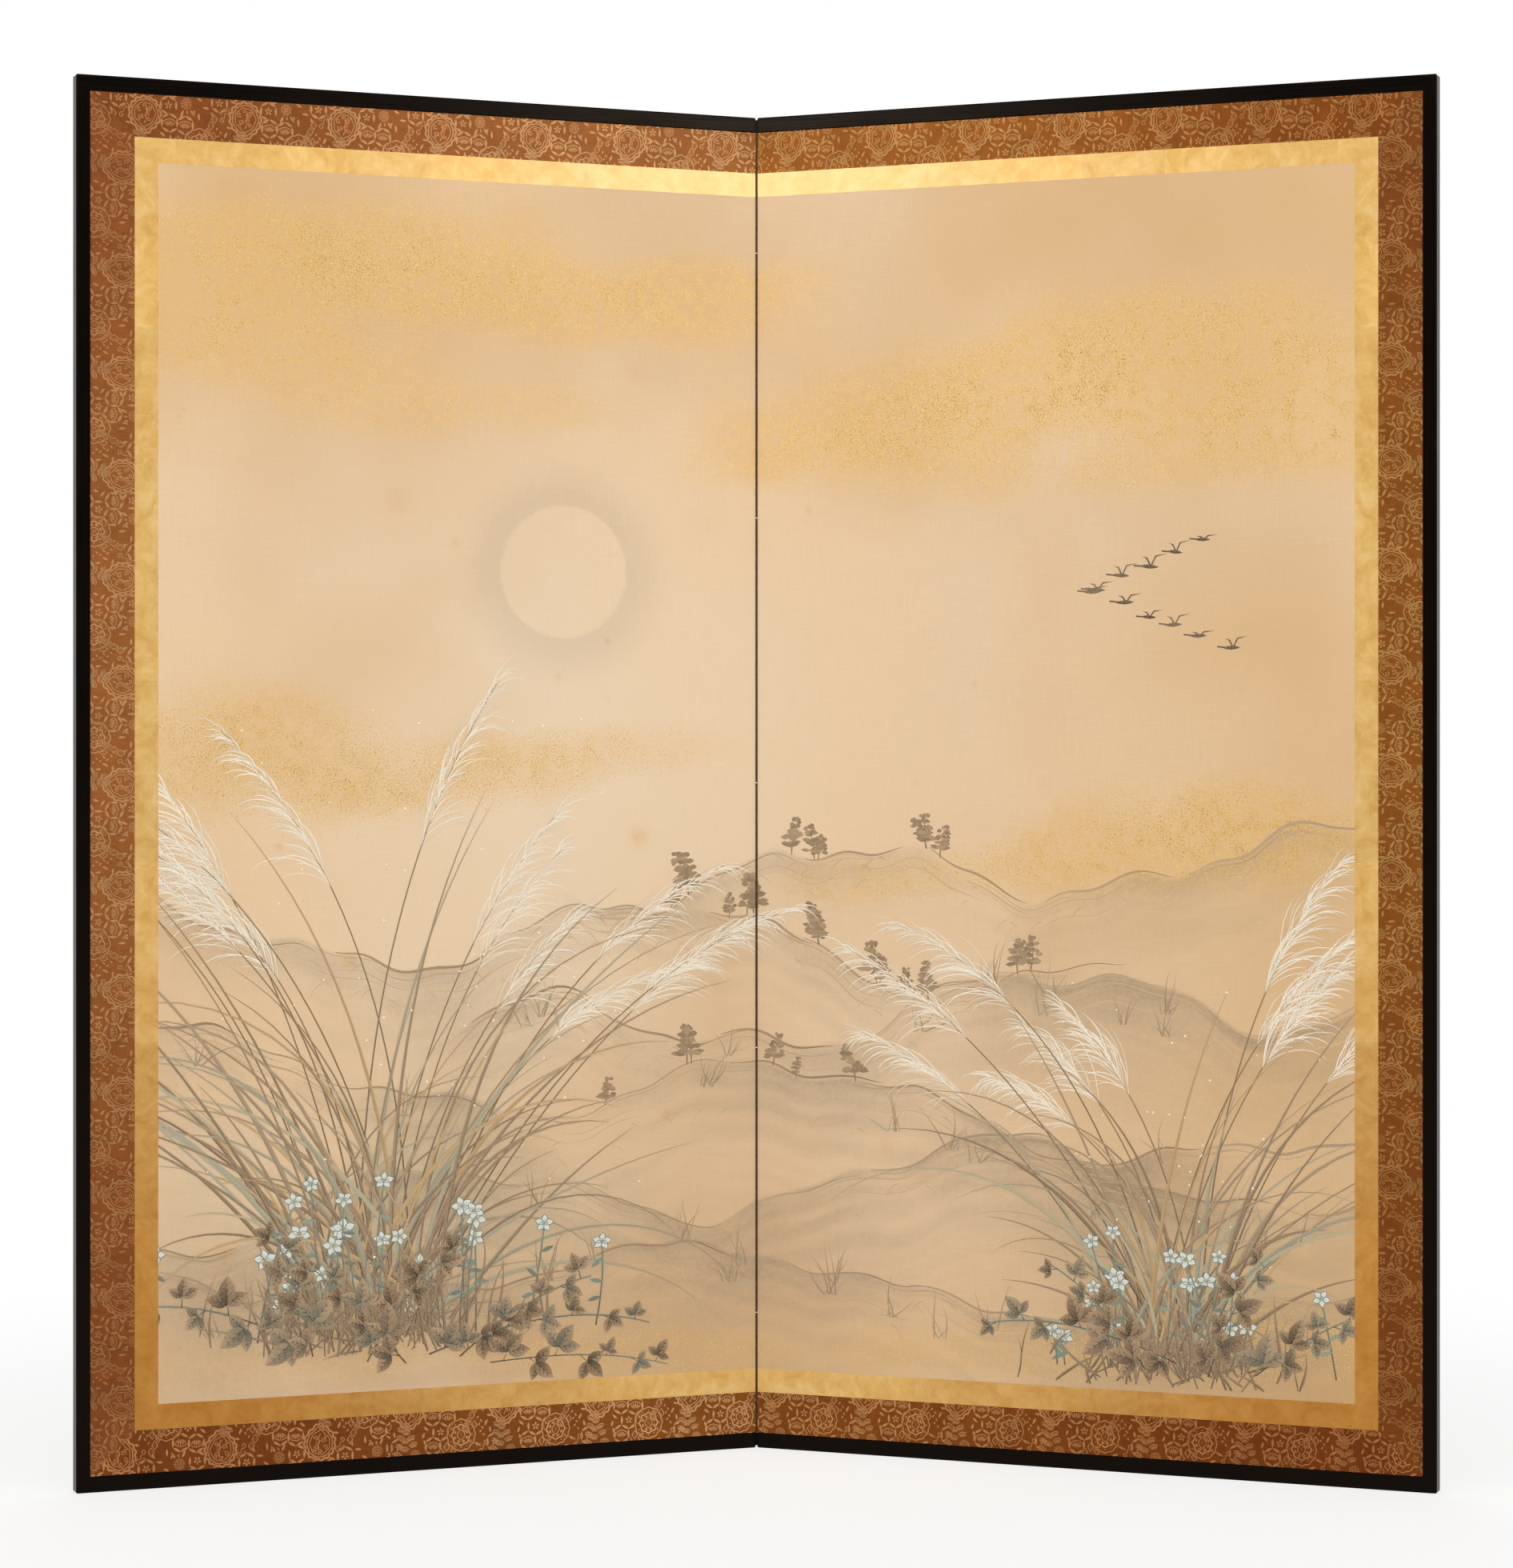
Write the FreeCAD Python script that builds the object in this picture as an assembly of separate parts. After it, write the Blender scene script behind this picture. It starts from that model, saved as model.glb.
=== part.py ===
import FreeCAD, Part
import math
import os

# A two-panel folding screen, in millimetres, +Z up. Each panel is a cedar lattice
# between paper linings, with a mounted picture in front, patterned paper behind
# and a lacquered frame on three sides. Paper hinges join the fourth sides.

# Origin: middle of the footprint, on the floor. The fold is at x = 0, the picture
# faces -Y, and both outer edges come forward of the fold.

# A panel is first drawn by itself: X runs from the fold to the outer edge, Y from
# the frame's front to its back, Z up. Then it is turned into its place.

# Whole screen
screen_height = 1720.0
panel_width = 885.0  # from the fold to the outer side
frame_depth = 20.0  # the lacquered frame, front to back
rest_turn_deg = 21.5  # how far each panel is turned forward of flat

# Lacquered frame
level_rail_face = 19.5  # top and bottom
side_rail_face = 17.5
front_reveal = 1.6  # the frame stands this proud of the brocade
back_reveal = 1.2
outer_arris_round = 1.6
inner_chamfer = 1.2
back_chamfer = 0.6
outer_corner_round = 2.6  # the frame's corners, seen from the front
fold_corner_round = 3.2
fold_end_round = 1.2  # the rail ends at the fold, seen from above
mitre_key_size = 9.0
mitre_key_thickness = 2.4
rail_pin_radius = 1.1
pin_in_rail = 9.0
pin_in_core = 12.0
level_rail_pins = 5
side_rail_pins = 8

# Picture and its borders
brocade_width = 52.5  # top and bottom
brocade_side_width = 54.5
brocade_thickness = 0.5
gold_width = 30.5
gold_side_width = 29.0
gold_thickness = 0.4
silk_thickness = 0.3

# Papers
lining_thickness = 0.8  # layers of paper pasted to the lattice, on either face
back_paper_thickness = 0.4
edge_paper_thickness = 0.4

# Cedar core
fold_stile_width = 42.0
outer_stile_width = 24.0
core_rail_width = 24.0
bridle_cheek = 4.85  # the corner joints' tongues lie between two of these
lattice_bar = 12.0
uprights = 6
crossbars = 12
bar_tenon = 6.0
bar_tenon_cheek = 4.85
brace_leg = 58.0
peg_radius = 1.5
peg_place_shares = (0.3, 0.7)  # across and up each corner joint

# Paper hinges
fold_gap = 1.4  # between the two panels' edges when they are in line
hinge_clearance = 0.3  # the fold lines lie this far outside the frame
leaf_thickness = 0.4
leaf_slit = 1.0  # between one hinge leaf and the next
end_leaf_height = 175.0  # from the screen's top or bottom to the first slit
middle_leaves = 4
flap_width = 38.0
lip_setback = 0.2  # each leaf's front edge turns over the fold, just behind the frame's front
lip_reach = 1.3

# Sizes that follow from these
fold_edge = fold_gap / 2
core_low = level_rail_face
core_high = screen_height - level_rail_face
core_outer = panel_width - side_rail_face
lining_front = front_reveal + brocade_thickness
core_front = lining_front + lining_thickness
paper_back = frame_depth - back_reveal
lining_back = paper_back - back_paper_thickness
core_back = lining_back - lining_thickness
core_middle = (core_front + core_back) / 2
edge_wood = fold_edge + edge_paper_thickness
brocade_low = core_low + brocade_width
brocade_high = core_high - brocade_width
brocade_outer = core_outer - brocade_side_width
gold_low = brocade_low + gold_width
gold_high = brocade_high - gold_width
gold_outer = brocade_outer - gold_side_width
across = FreeCAD.Vector(1, 0, 0)
deep = FreeCAD.Vector(0, 1, 0)
up = FreeCAD.Vector(0, 0, 1)


# Shapes that the pieces are made of
def block(x0, x1, y0, y1, z0, z1):
    return Part.makeBox(x1 - x0, y1 - y0, z1 - z0, FreeCAD.Vector(x0, y0, z0))


def point(places, plane):
    # plane names the two axes that the outline's pairs are measured along
    where = dict(zip(plane, places))
    return FreeCAD.Vector(where.get("x", 0), where.get("y", 0), where.get("z", 0))


def prism(outline, rounds, plane, start, end):
    # an outline with some corners rounded, pushed along the axis that plane leaves out
    normal = {"xz": deep, "yz": across, "xy": up}[plane]
    corners = [point(pair, plane) + normal * start for pair in outline]
    trims = []
    for i, corner in enumerate(corners):
        before = (corners[i - 1] - corner).normalize()
        after = (corners[(i + 1) % len(corners)] - corner).normalize()
        half = before.getAngle(after) / 2
        reach = rounds[i] / math.tan(half)
        inward = (before + after).normalize() * (rounds[i] / math.sin(half) - rounds[i])
        trims.append((corner + before * reach, corner + inward, corner + after * reach))
    edges = []
    for i, (first, crest, last) in enumerate(trims):
        if rounds[i] > 0:
            edges.append(Part.Arc(first, crest, last).toShape())
        following = trims[(i + 1) % len(trims)][0]
        edges.append(Part.LineSegment(last, following).toShape())
    return Part.Face(Part.Wire(edges)).extrude(normal * (end - start))


def plate(outline, y0, y1):
    # a sharp-cornered outline in the panel's plane
    return prism(outline, [0] * len(outline), "xz", y0, y1)


def cut(shape, tools):
    return shape.cut(Part.makeCompound(tools)) if tools else shape


def spaced(low, high, size, count):
    # where each of count pieces begins, with equal gaps between them and at the ends
    gap = (high - low - size * count) / (count + 1)
    return [low + gap + (gap + size) * i for i in range(count)]


# Lacquered frame
def rail_outline(face, inner, outward):
    # depth, and place across the rail from its inner edge; chamfered inside, rounded outside
    pairs = (
        (0, inner_chamfer),
        (inner_chamfer, 0),
        (frame_depth - back_chamfer, 0),
        (frame_depth, back_chamfer),
        (frame_depth, face),
        (0, face),
    )
    rounds = [0, 0, 0, 0, outer_arris_round, outer_arris_round]
    return [(depth, inner + outward * rise) for depth, rise in pairs], rounds


def frame_bounds():
    # the panel's outline from the front, with its four worn corners
    outline = (
        (fold_edge, 0),
        (panel_width, 0),
        (panel_width, screen_height),
        (fold_edge, screen_height),
    )
    rounds = [fold_corner_round, outer_corner_round, outer_corner_round, fold_corner_round]
    return prism(outline, rounds, "xz", 0, frame_depth)


def rail_plan():
    # the panel's outline from above, eased where the rails end at the fold
    outline = (
        (fold_edge, 0),
        (panel_width, 0),
        (panel_width, frame_depth),
        (fold_edge, frame_depth),
    )
    rounds = [fold_end_round, 0, 0, fold_end_round]
    return prism(outline, rounds, "xy", 0, screen_height)


def level_rail(edge, inner):
    # edge is the height of the rail's outer side, inner that of its inner side
    outward = math.copysign(1, edge - inner)
    outline, rounds = rail_outline(level_rail_face, inner, outward)
    bar = prism(outline, rounds, "yz", fold_edge, panel_width)
    mitred = (
        (fold_edge, inner),
        (core_outer, inner),
        (panel_width, edge),
        (fold_edge, edge),
    )
    bar = bar.common(plate(mitred, 0, frame_depth))
    return bar.common(frame_bounds()).common(rail_plan())


def side_rail():
    outline, rounds = rail_outline(side_rail_face, core_outer, 1)
    turned = [(place, depth) for depth, place in outline]
    bar = prism(turned, rounds, "xy", 0, screen_height)
    mitred = (
        (core_outer, core_low),
        (panel_width, 0),
        (panel_width, screen_height),
        (core_outer, core_high),
    )
    return bar.common(plate(mitred, 0, frame_depth)).common(frame_bounds())


def mitre_keys():
    keys = []
    for inner, edge in ((core_low, 0), (core_high, screen_height)):
        x0 = (core_outer + panel_width - mitre_key_size) / 2
        z0 = (inner + edge - mitre_key_size) / 2
        y0 = core_middle - mitre_key_thickness / 2
        y1 = y0 + mitre_key_thickness
        keys.append(block(x0, x0 + mitre_key_size, y0, y1, z0, z0 + mitre_key_size))
    return keys


def pin(x, z, direction):
    # a headless pin, half in the rail and half in the core
    start = FreeCAD.Vector(x, core_middle, z) - direction * pin_in_core
    return Part.makeCylinder(rail_pin_radius, pin_in_core + pin_in_rail, start, direction)


def rail_pins():
    level_places = spaced(fold_edge, core_outer, 0, level_rail_pins)
    side_places = spaced(core_low, core_high, 0, side_rail_pins)
    top = [pin(x, core_high, up) for x in level_places]
    bottom = [pin(x, core_low, -up) for x in level_places]
    side = [pin(core_outer, z, across) for z in side_places]
    return top, bottom, side


def build_frame():
    keys = mitre_keys()
    top_pins, bottom_pins, side_pins = rail_pins()
    return {
        "top_rail": [cut(level_rail(screen_height, core_high), keys[1:] + top_pins)],
        "bottom_rail": [cut(level_rail(0, core_low), keys[:1] + bottom_pins)],
        "side_rail": [cut(side_rail(), keys + side_pins)],
        "mitre_keys": keys,
        "rail_pins": top_pins + bottom_pins + side_pins,
    }


# Cedar core
def corner_joint(x0, x1, z0, z1):
    # the tongue of one corner joint, and the two pegs through it
    tongue = block(x0, x1, core_front + bridle_cheek, core_back - bridle_cheek, z0, z1)
    pegs = []
    for share in peg_place_shares:
        place = FreeCAD.Vector(x0 + (x1 - x0) * share, core_front, z0 + (z1 - z0) * share)
        pegs.append(Part.makeCylinder(peg_radius, core_back - core_front, place, deep))
    return tongue, pegs


def brace(x, z, along, rise):
    # a triangular board in one inner corner of the core
    outline = ((x, z), (x + along * brace_leg, z), (x, z + rise * brace_leg))
    return plate(outline, core_front, core_back)


def build_core():
    inner_left = edge_wood + fold_stile_width
    inner_right = core_outer - outer_stile_width
    inner_low = core_low + core_rail_width
    inner_high = core_high - core_rail_width
    fold_stile = block(edge_wood, inner_left, core_front, core_back, core_low, core_high)
    outer_stile = block(inner_right, core_outer, core_front, core_back, core_low, core_high)
    rails = []
    pegs = []
    tongues = []
    for z0, z1 in ((core_low, inner_low), (inner_high, core_high)):
        rail = block(inner_left, inner_right, core_front, core_back, z0, z1)
        for x0, x1 in ((edge_wood, inner_left), (inner_right, core_outer)):
            tongue, joint_pegs = corner_joint(x0, x1, z0, z1)
            rail = rail.fuse(tongue)
            tongues.append(tongue)
            pegs += joint_pegs
        rails.append(rail.removeSplitter())

    # the lattice: bars halved into each other, passing in front and behind by turns
    bar_x = spaced(inner_left, inner_right, lattice_bar, uprights)
    bar_z = spaced(inner_low, inner_high, lattice_bar, crossbars)
    tenon_front = core_front + bar_tenon_cheek
    tenon_back = core_back - bar_tenon_cheek
    upright_bars = []
    upright_tenons = []
    for x in bar_x:
        bar = block(x, x + lattice_bar, core_front, core_back, inner_low, inner_high)
        tenon = block(
            x, x + lattice_bar, tenon_front, tenon_back, inner_low - bar_tenon, inner_high + bar_tenon
        )
        upright_bars.append(bar.fuse(tenon).removeSplitter())
        upright_tenons.append(tenon)
    cross_bars = []
    cross_tenons = []
    for z in bar_z:
        bar = block(inner_left, inner_right, core_front, core_back, z, z + lattice_bar)
        tenon = block(
            inner_left - bar_tenon, inner_right + bar_tenon, tenon_front, tenon_back, z, z + lattice_bar
        )
        cross_bars.append(bar.fuse(tenon).removeSplitter())
        cross_tenons.append(tenon)
    front_half = (core_front, core_middle)
    back_half = (core_middle, core_back)
    upright_notches = [[] for x in bar_x]
    cross_notches = [[] for z in bar_z]
    for i, x in enumerate(bar_x):
        for j, z in enumerate(bar_z):
            kept, removed = front_half, back_half
            if (i + j) % 2:
                kept, removed = back_half, front_half
            upright_notches[i].append(block(x, x + lattice_bar, *removed, z, z + lattice_bar))
            cross_notches[j].append(block(x, x + lattice_bar, *kept, z, z + lattice_bar))
    upright_bars = [cut(bar, notches) for bar, notches in zip(upright_bars, upright_notches)]
    cross_bars = [cut(bar, notches) for bar, notches in zip(cross_bars, cross_notches)]

    top_pins, bottom_pins, side_pins = rail_pins()
    side_sockets = cross_tenons + tongues + pegs
    braces = [
        brace(x, z, along, rise)
        for x, along in ((inner_left, 1), (inner_right, -1))
        for z, rise in ((inner_low, 1), (inner_high, -1))
    ]
    return {
        "fold_stile": [cut(fold_stile, side_sockets)],
        "outer_stile": [cut(outer_stile, side_sockets + side_pins)],
        "core_top_rail": [cut(rails[1], upright_tenons + pegs + top_pins)],
        "core_bottom_rail": [cut(rails[0], upright_tenons + pegs + bottom_pins)],
        "lattice_uprights": upright_bars,
        "lattice_crossbars": cross_bars,
        "corner_braces": braces,
        "core_pegs": pegs,
    }


# Paper hinges: strips that cross the fold from front to back, each next one the other way
def leaf_heights():
    # the low and high end of each leaf, from the top of the screen down
    middle = (screen_height - end_leaf_height * 2) / middle_leaves
    slits = [screen_height - end_leaf_height - middle * i for i in range(middle_leaves + 1)]
    tops = [core_high] + [slit - leaf_slit / 2 for slit in slits]
    bottoms = [slit + leaf_slit / 2 for slit in slits] + [core_low]
    return list(zip(bottoms, tops))


def leaves(first):
    # every second leaf: a strip standing in the fold, with a lip towards the other panel
    strips = []
    for low, high in leaf_heights()[first::2]:
        half = leaf_thickness / 2
        lip_back = lip_setback + leaf_thickness
        strip = block(-half, half, lip_setback, core_back, low, high)
        lip = block(-lip_reach, half, lip_setback, lip_back, low, high)
        strips.append(strip.fuse(lip).removeSplitter())
    return strips


def flaps(first, y0):
    # the glued ends of every second strip, let into one lining
    return [
        block(fold_edge, fold_edge + flap_width, y0, y0 + lining_thickness, low, high)
        for low, high in leaf_heights()[first::2]
    ]


# Papers, and the picture with its borders
def sheet(y0, y1):
    return block(fold_edge, core_outer, y0, y1, core_low, core_high)


def border(outer_low, outer_high, outer_x, low, high, inner_x, front):
    # three strips, mitred at the two outer corners, and plain at the fold
    back = lining_front
    top = ((fold_edge, high), (inner_x, high), (outer_x, outer_high), (fold_edge, outer_high))
    bottom = ((fold_edge, low), (inner_x, low), (outer_x, outer_low), (fold_edge, outer_low))
    side = ((inner_x, low), (outer_x, outer_low), (outer_x, outer_high), (inner_x, high))
    return [plate(outline, front, back) for outline in (top, bottom, side)]


def build_papers(front_first):
    # front_first is the topmost leaf whose flap is glued to this panel's front
    front_flaps = flaps(front_first, lining_front)
    back_flaps = flaps(1 - front_first, core_back)
    edge = block(fold_edge, edge_wood, core_front, core_back, core_low, core_high)
    return {
        "front_lining": [cut(sheet(lining_front, core_front), front_flaps)],
        "back_lining": [cut(sheet(core_back, lining_back), back_flaps)],
        "edge_paper": [edge],
        "front_hinge_flaps": front_flaps,
        "back_hinge_flaps": back_flaps,
        "back_paper": [sheet(lining_back, paper_back)],
    }


def build_mounting():
    silk_front = lining_front - silk_thickness
    gold_front = lining_front - gold_thickness
    silk = block(fold_edge, gold_outer, silk_front, lining_front, gold_low, gold_high)
    gold = border(
        brocade_low, brocade_high, brocade_outer, gold_low, gold_high, gold_outer, gold_front
    )
    brocade = border(
        core_low, core_high, core_outer, brocade_low, brocade_high, brocade_outer, front_reveal
    )
    pieces = {"silk_picture": [silk]}
    for name, strips in (("gold", gold), ("brocade", brocade)):
        for place, strip in zip(("top", "bottom", "side"), strips):
            pieces[name + "_" + place] = [strip]
    return pieces


# The screen's place on the floor: the front fold line is fold_y behind the middle
rest_turn = math.radians(rest_turn_deg)
outermost = (
    (outer_arris_round + hinge_clearance) * math.cos(rest_turn)
    - (panel_width - outer_arris_round) * math.sin(rest_turn)
    - outer_arris_round
)
hindmost = (
    (frame_depth - fold_end_round + hinge_clearance) * math.cos(rest_turn)
    - (fold_edge + fold_end_round) * math.sin(rest_turn)
    + fold_end_round
)
fold_y = -(outermost + hindmost) / 2


def placed(shape, side):
    # side is 1 for the right panel and -1 for the left, turned about the front fold line
    if side < 0:
        shape = shape.mirror(FreeCAD.Vector(), across)
    shape.translate(FreeCAD.Vector(0, fold_y + hinge_clearance, 0))
    return shape.rotate(FreeCAD.Vector(0, fold_y, 0), up, -side * rest_turn_deg)


def back_fold_line(side):
    reach = frame_depth + hinge_clearance * 2
    return side * reach * math.sin(rest_turn), fold_y + reach * math.cos(rest_turn)


def main():
    os.makedirs("parts", exist_ok=True)
    nodes = {}
    for side_name, side, front_first in (("left", -1, 0), ("right", 1, 1)):
        panel = {
            **build_core(),
            **build_papers(front_first),
            **build_mounting(),
            **build_frame(),
        }
        for name, solids in panel.items():
            nodes[side_name + "_" + name] = [placed(solid, side) for solid in solids]
    nodes["hinge_leaves_a"] = [placed(leaf, 1) for leaf in leaves(0)]
    nodes["hinge_leaves_b"] = [placed(leaf, -1) for leaf in leaves(1)]
    for name, solids in nodes.items():
        shape = solids[0] if len(solids) == 1 else Part.makeCompound(solids)
        shape.exportStep("parts/" + name + ".step")
    print("nodes", len(nodes))
    print("front fold line", 0, round(fold_y, 4))
    print("back fold lines", [tuple(round(n, 4) for n in back_fold_line(s)) for s in (-1, 1)])


main()
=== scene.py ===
import random
from functools import partial
from math import atan2, copysign, cos, floor, hypot, pi, radians, sin, tau

import bmesh
import bpy
import numpy as np
from mathutils import Matrix, Vector, noise


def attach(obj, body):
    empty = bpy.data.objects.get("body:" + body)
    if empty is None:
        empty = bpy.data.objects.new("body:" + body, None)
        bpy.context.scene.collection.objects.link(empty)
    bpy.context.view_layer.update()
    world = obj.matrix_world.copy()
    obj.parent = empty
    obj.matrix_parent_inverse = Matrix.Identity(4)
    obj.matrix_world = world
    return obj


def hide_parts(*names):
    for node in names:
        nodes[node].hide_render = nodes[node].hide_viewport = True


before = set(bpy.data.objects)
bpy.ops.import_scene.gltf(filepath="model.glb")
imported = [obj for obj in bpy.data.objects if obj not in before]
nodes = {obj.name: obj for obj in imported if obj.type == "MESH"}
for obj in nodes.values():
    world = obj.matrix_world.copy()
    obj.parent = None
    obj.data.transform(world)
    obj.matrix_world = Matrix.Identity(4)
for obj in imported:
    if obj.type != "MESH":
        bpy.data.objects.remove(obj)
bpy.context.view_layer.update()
sides = {"left": -1, "right": 1}
print("frame loaded:", len(nodes), "nodes")

# A folding screen of two panels. Sizes below are in millimetres and repeat the frame's own.
# Each panel has its own upright sheet: u runs from the fold to the outer edge, z up,
# and v from the front of the lacquered frame to its back.
screen = {
    "height": 1720.0,
    "foldY": 152.6624,  # the line that both panels turn about
    "turnDeg": 21.5,
    "clearance": 0.3,
    "foldEdge": 0.7,
    "panelOuter": 885.0,
    "railLow": 19.5,  # inner edges of the frame
    "railHigh": 1700.5,
    "railOuter": 867.5,
    "clothLow": 72.0,  # inner edges of the brocade
    "clothHigh": 1648.0,
    "clothOuter": 813.0,
    "pictureLow": 102.5,  # inner edges of the gold
    "pictureHigh": 1617.5,
    "pictureOuter": 784.0,
    "clothFront": 1.6,
    "silkFront": 1.8,
    "paperBack": 18.8,
}
turn = radians(screen["turnDeg"])


def panelMatrix(side):
    # takes (u, v, z) in millimetres to the row frame in metres
    lift = Matrix.Translation((0, screen["clearance"], 0))
    spin = Matrix.Rotation(-turn, 4, "Z")
    mirror = Matrix.Diagonal((sides[side], 1, 1, 1))
    place = Matrix.Translation((0, screen["foldY"], 0))
    return Matrix.Scale(0.001, 4) @ place @ mirror @ spin @ lift


def linear(hexText):
    # an sRGB hex value as linear colour
    parts = [int(hexText[i:i + 2], 16) / 255 for i in (1, 3, 5)]
    return [c / 12.92 if c <= 0.04045 else ((c + 0.055) / 1.055) ** 2.4 for c in parts] + [1.0]


def addNode(tree, kind, inputs=None, stops=(), to=None, **settings):
    # a node with its settings, links and colour stops; a node given as an input stands for its first output,
    # and to names the input of the material's shader that it feeds, or is a socket
    node = tree.nodes.new(kind if "Node" in kind else "ShaderNode" + kind)
    for name, value in settings.items():
        setattr(node, name, value)
    for socket, value in (inputs or {}).items():
        if isinstance(value, bpy.types.Node):
            value = next(o for o in value.outputs if o.enabled)
        if isinstance(value, bpy.types.NodeSocket):
            tree.links.new(value, node.inputs[socket])
        else:
            colour = isinstance(value, str) and value.startswith("#")
            node.inputs[socket].default_value = linear(value) if colour else value
    if stops:
        elements = node.color_ramp.elements
        while len(elements) < len(stops):
            elements.new(0.5)
        for element, (place, colour) in zip(elements, stops):
            element.position = place
            element.color = linear(colour) if isinstance(colour, str) else colour
    if to:
        target = tree.nodes["Principled BSDF"].inputs[to] if isinstance(to, str) else to
        tree.links.new(next(o for o in node.outputs if o.enabled), target)
    return node


def startMaterial(name, inputs):
    # gives what adds a node to the new material
    material = bpy.data.materials.new(name)
    material.use_nodes = True
    material.node_tree.nodes.clear()
    node = partial(addNode, material.node_tree)
    node("OutputMaterial", {"Surface": node("BsdfPrincipled", inputs)})
    return node


def panelPlace(node, side, stretch=(1, 1, 1)):
    # the row frame turned back to (u, v, z) in millimetres, then stretched
    foot = Matrix.Diagonal((*stretch, 1)) @ Matrix.Rotation(turn, 4, "Z") @ Vector((0, screen["foldY"], 0))
    turned = node("Mapping", {
        "Vector": node("TexCoord").outputs["Object"], "Scale": (sides[side] * 1000, 1000, 1000),
        "Rotation": (0, 0, turn)})
    return node("Mapping", {"Vector": turned, "Location": -foot, "Scale": stretch})


# where painted light and shade lie on a panel: painted shade at the foot and the shoulder, its lower and upper outer
# corners, and a painted highlight at the head, the top beside the fold; each place in (u, v, z), all within near mm of
# it, none beyond far mm
paintedLightPlaces = {
    "foot": {"place": (screen["panelOuter"], 0.0, 0.0), "near": 150.0, "far": 830.0},
    "shoulder": {"place": (screen["panelOuter"], 0.0, screen["height"]), "near": 60.0, "far": 620.0},
    "head": {"place": (0.0, 0.0, screen["height"]), "near": 60.0, "far": 560.0},
}


def paintedLightShare(node, plain, name, most=1.0):
    # the share of painted light or shade: most at the named place, down to 0 further away
    ageAndPaintedLight = paintedLightPlaces[name]
    away = node("VectorMath", {0: plain, 1: ageAndPaintedLight["place"]}, operation="DISTANCE")
    return node("MapRange", {
        "Value": away, "From Min": ageAndPaintedLight["near"], "From Max": ageAndPaintedLight["far"], "To Min": most, "To Max": 0.0},
        interpolation_type="SMOOTHSTEP")


def lapShare(node, square, axis, width, most):
    # a thin line at the edge of each square, where one sheet laps over the next
    part = node("VectorMath", {0: square}, operation="FRACTION")
    place = node("SeparateXYZ", {"Vector": part}).outputs[axis]
    return node("MapRange", {"Value": place, "From Max": width, "To Min": most, "To Max": 0.0})


lacquerLook = {
    "deep": "#050302",
    "worn": "#090604",
    "gloss": "#FFE0C8",  # the film is a little brown, so its gloss is warm
    "wearAndHighlight": "#2B1D14",  # the brown ground, where the arrises are rubbed
    "rubMm": 1.6,
    "roughness": (0.24, 0.36),
    "brushMm": 2.2,  # width of the brush's faint streaks
    "dust": "#5F5851",
}


def makeLacquer(side, along):
    # black lacquer on wood, rubbed to a satin gloss: brush streaks along each rail, browner arrises, a little dust
    node = startMaterial("black_lacquer_%s_%s" % (side, along), {
        "IOR": 1.5, "Specular IOR Level": 0.1, "Specular Tint": lacquerLook["gloss"]})
    streak = 1 / lacquerLook["brushMm"]
    stretch = (streak * 0.02, streak, streak) if along == "u" else (streak, streak, streak * 0.02)
    plain = panelPlace(node, side)
    streaks = node("TexNoise", {"Vector": panelPlace(node, side, stretch), "Scale": 1.0, "Detail": 4.0})
    cloudy = node("TexNoise", {"Vector": plain, "Scale": 0.012, "Detail": 3.0})
    colour = node("ValToRGB", {"Fac": cloudy}, [(0.35, lacquerLook["deep"]), (0.7, lacquerLook["worn"])])
    # how near the outer edges of the panel a point is
    axis = node("SeparateXYZ", {"Vector": plain}).outputs
    height, width, rub = screen["height"], screen["panelOuter"], lacquerLook["rubMm"]
    edge = None
    for name, inner, outer in (("X", width - rub, width), ("Z", height - rub, height), ("Z", rub, 0.0)):
        near = node("MapRange", {"Value": axis[name], "From Min": inner, "From Max": outer})
        edge = node("Math", {0: edge, 1: near}, operation="MAXIMUM") if edge else near
    patches = node("TexNoise", {"Vector": plain, "Scale": 0.03, "Detail": 5.0, "Roughness": 0.7})
    wearAndHighlight = node("MapRange", {"Value": patches, "From Min": 0.42, "From Max": 0.66, "To Max": 0.8})
    wearAndHighlight = node("Math", {0: edge, 1: wearAndHighlight}, operation="MULTIPLY")
    colour = node("Mix", {"Factor": wearAndHighlight, "A": colour, "B": lacquerLook["wearAndHighlight"]}, data_type="RGBA")
    specks = node("TexNoise", {"Vector": plain, "Scale": 0.35, "Detail": 2.0})
    dusty = node("MapRange", {"Value": specks, "From Min": 0.77, "From Max": 0.83, "To Max": 0.4})
    node("Mix", {"Factor": dusty, "A": colour, "B": lacquerLook["dust"]}, to="Base Color", data_type="RGBA")
    low, high = lacquerLook["roughness"]
    node("MapRange", {"Value": streaks, "From Min": 0.3, "From Max": 0.7, "To Min": low, "To Max": high},
         to="Roughness")
    node("Bump", {"Height": streaks, "Distance": 0.00004, "Strength": 0.35}, to="Normal")


goldLook = {
    "pale": "#F8D089",
    "mid": "#EFC06F",
    "deep": "#E3AE59",
    "lap": "#F6DDA2",
    "toned": "#D4B57F",  # painted shade: what the leaf's colour is multiplied by in the lower outer corners, where less light falls
    "wearAndHighlight": "#FBE7BE",  # painted highlight: the paler leaf at the top beside the fold, standing in for the bright room's reflection
    "leafMm": 109.0,  # one square of beaten leaf
    "roughness": (0.34, 0.46),
}


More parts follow.
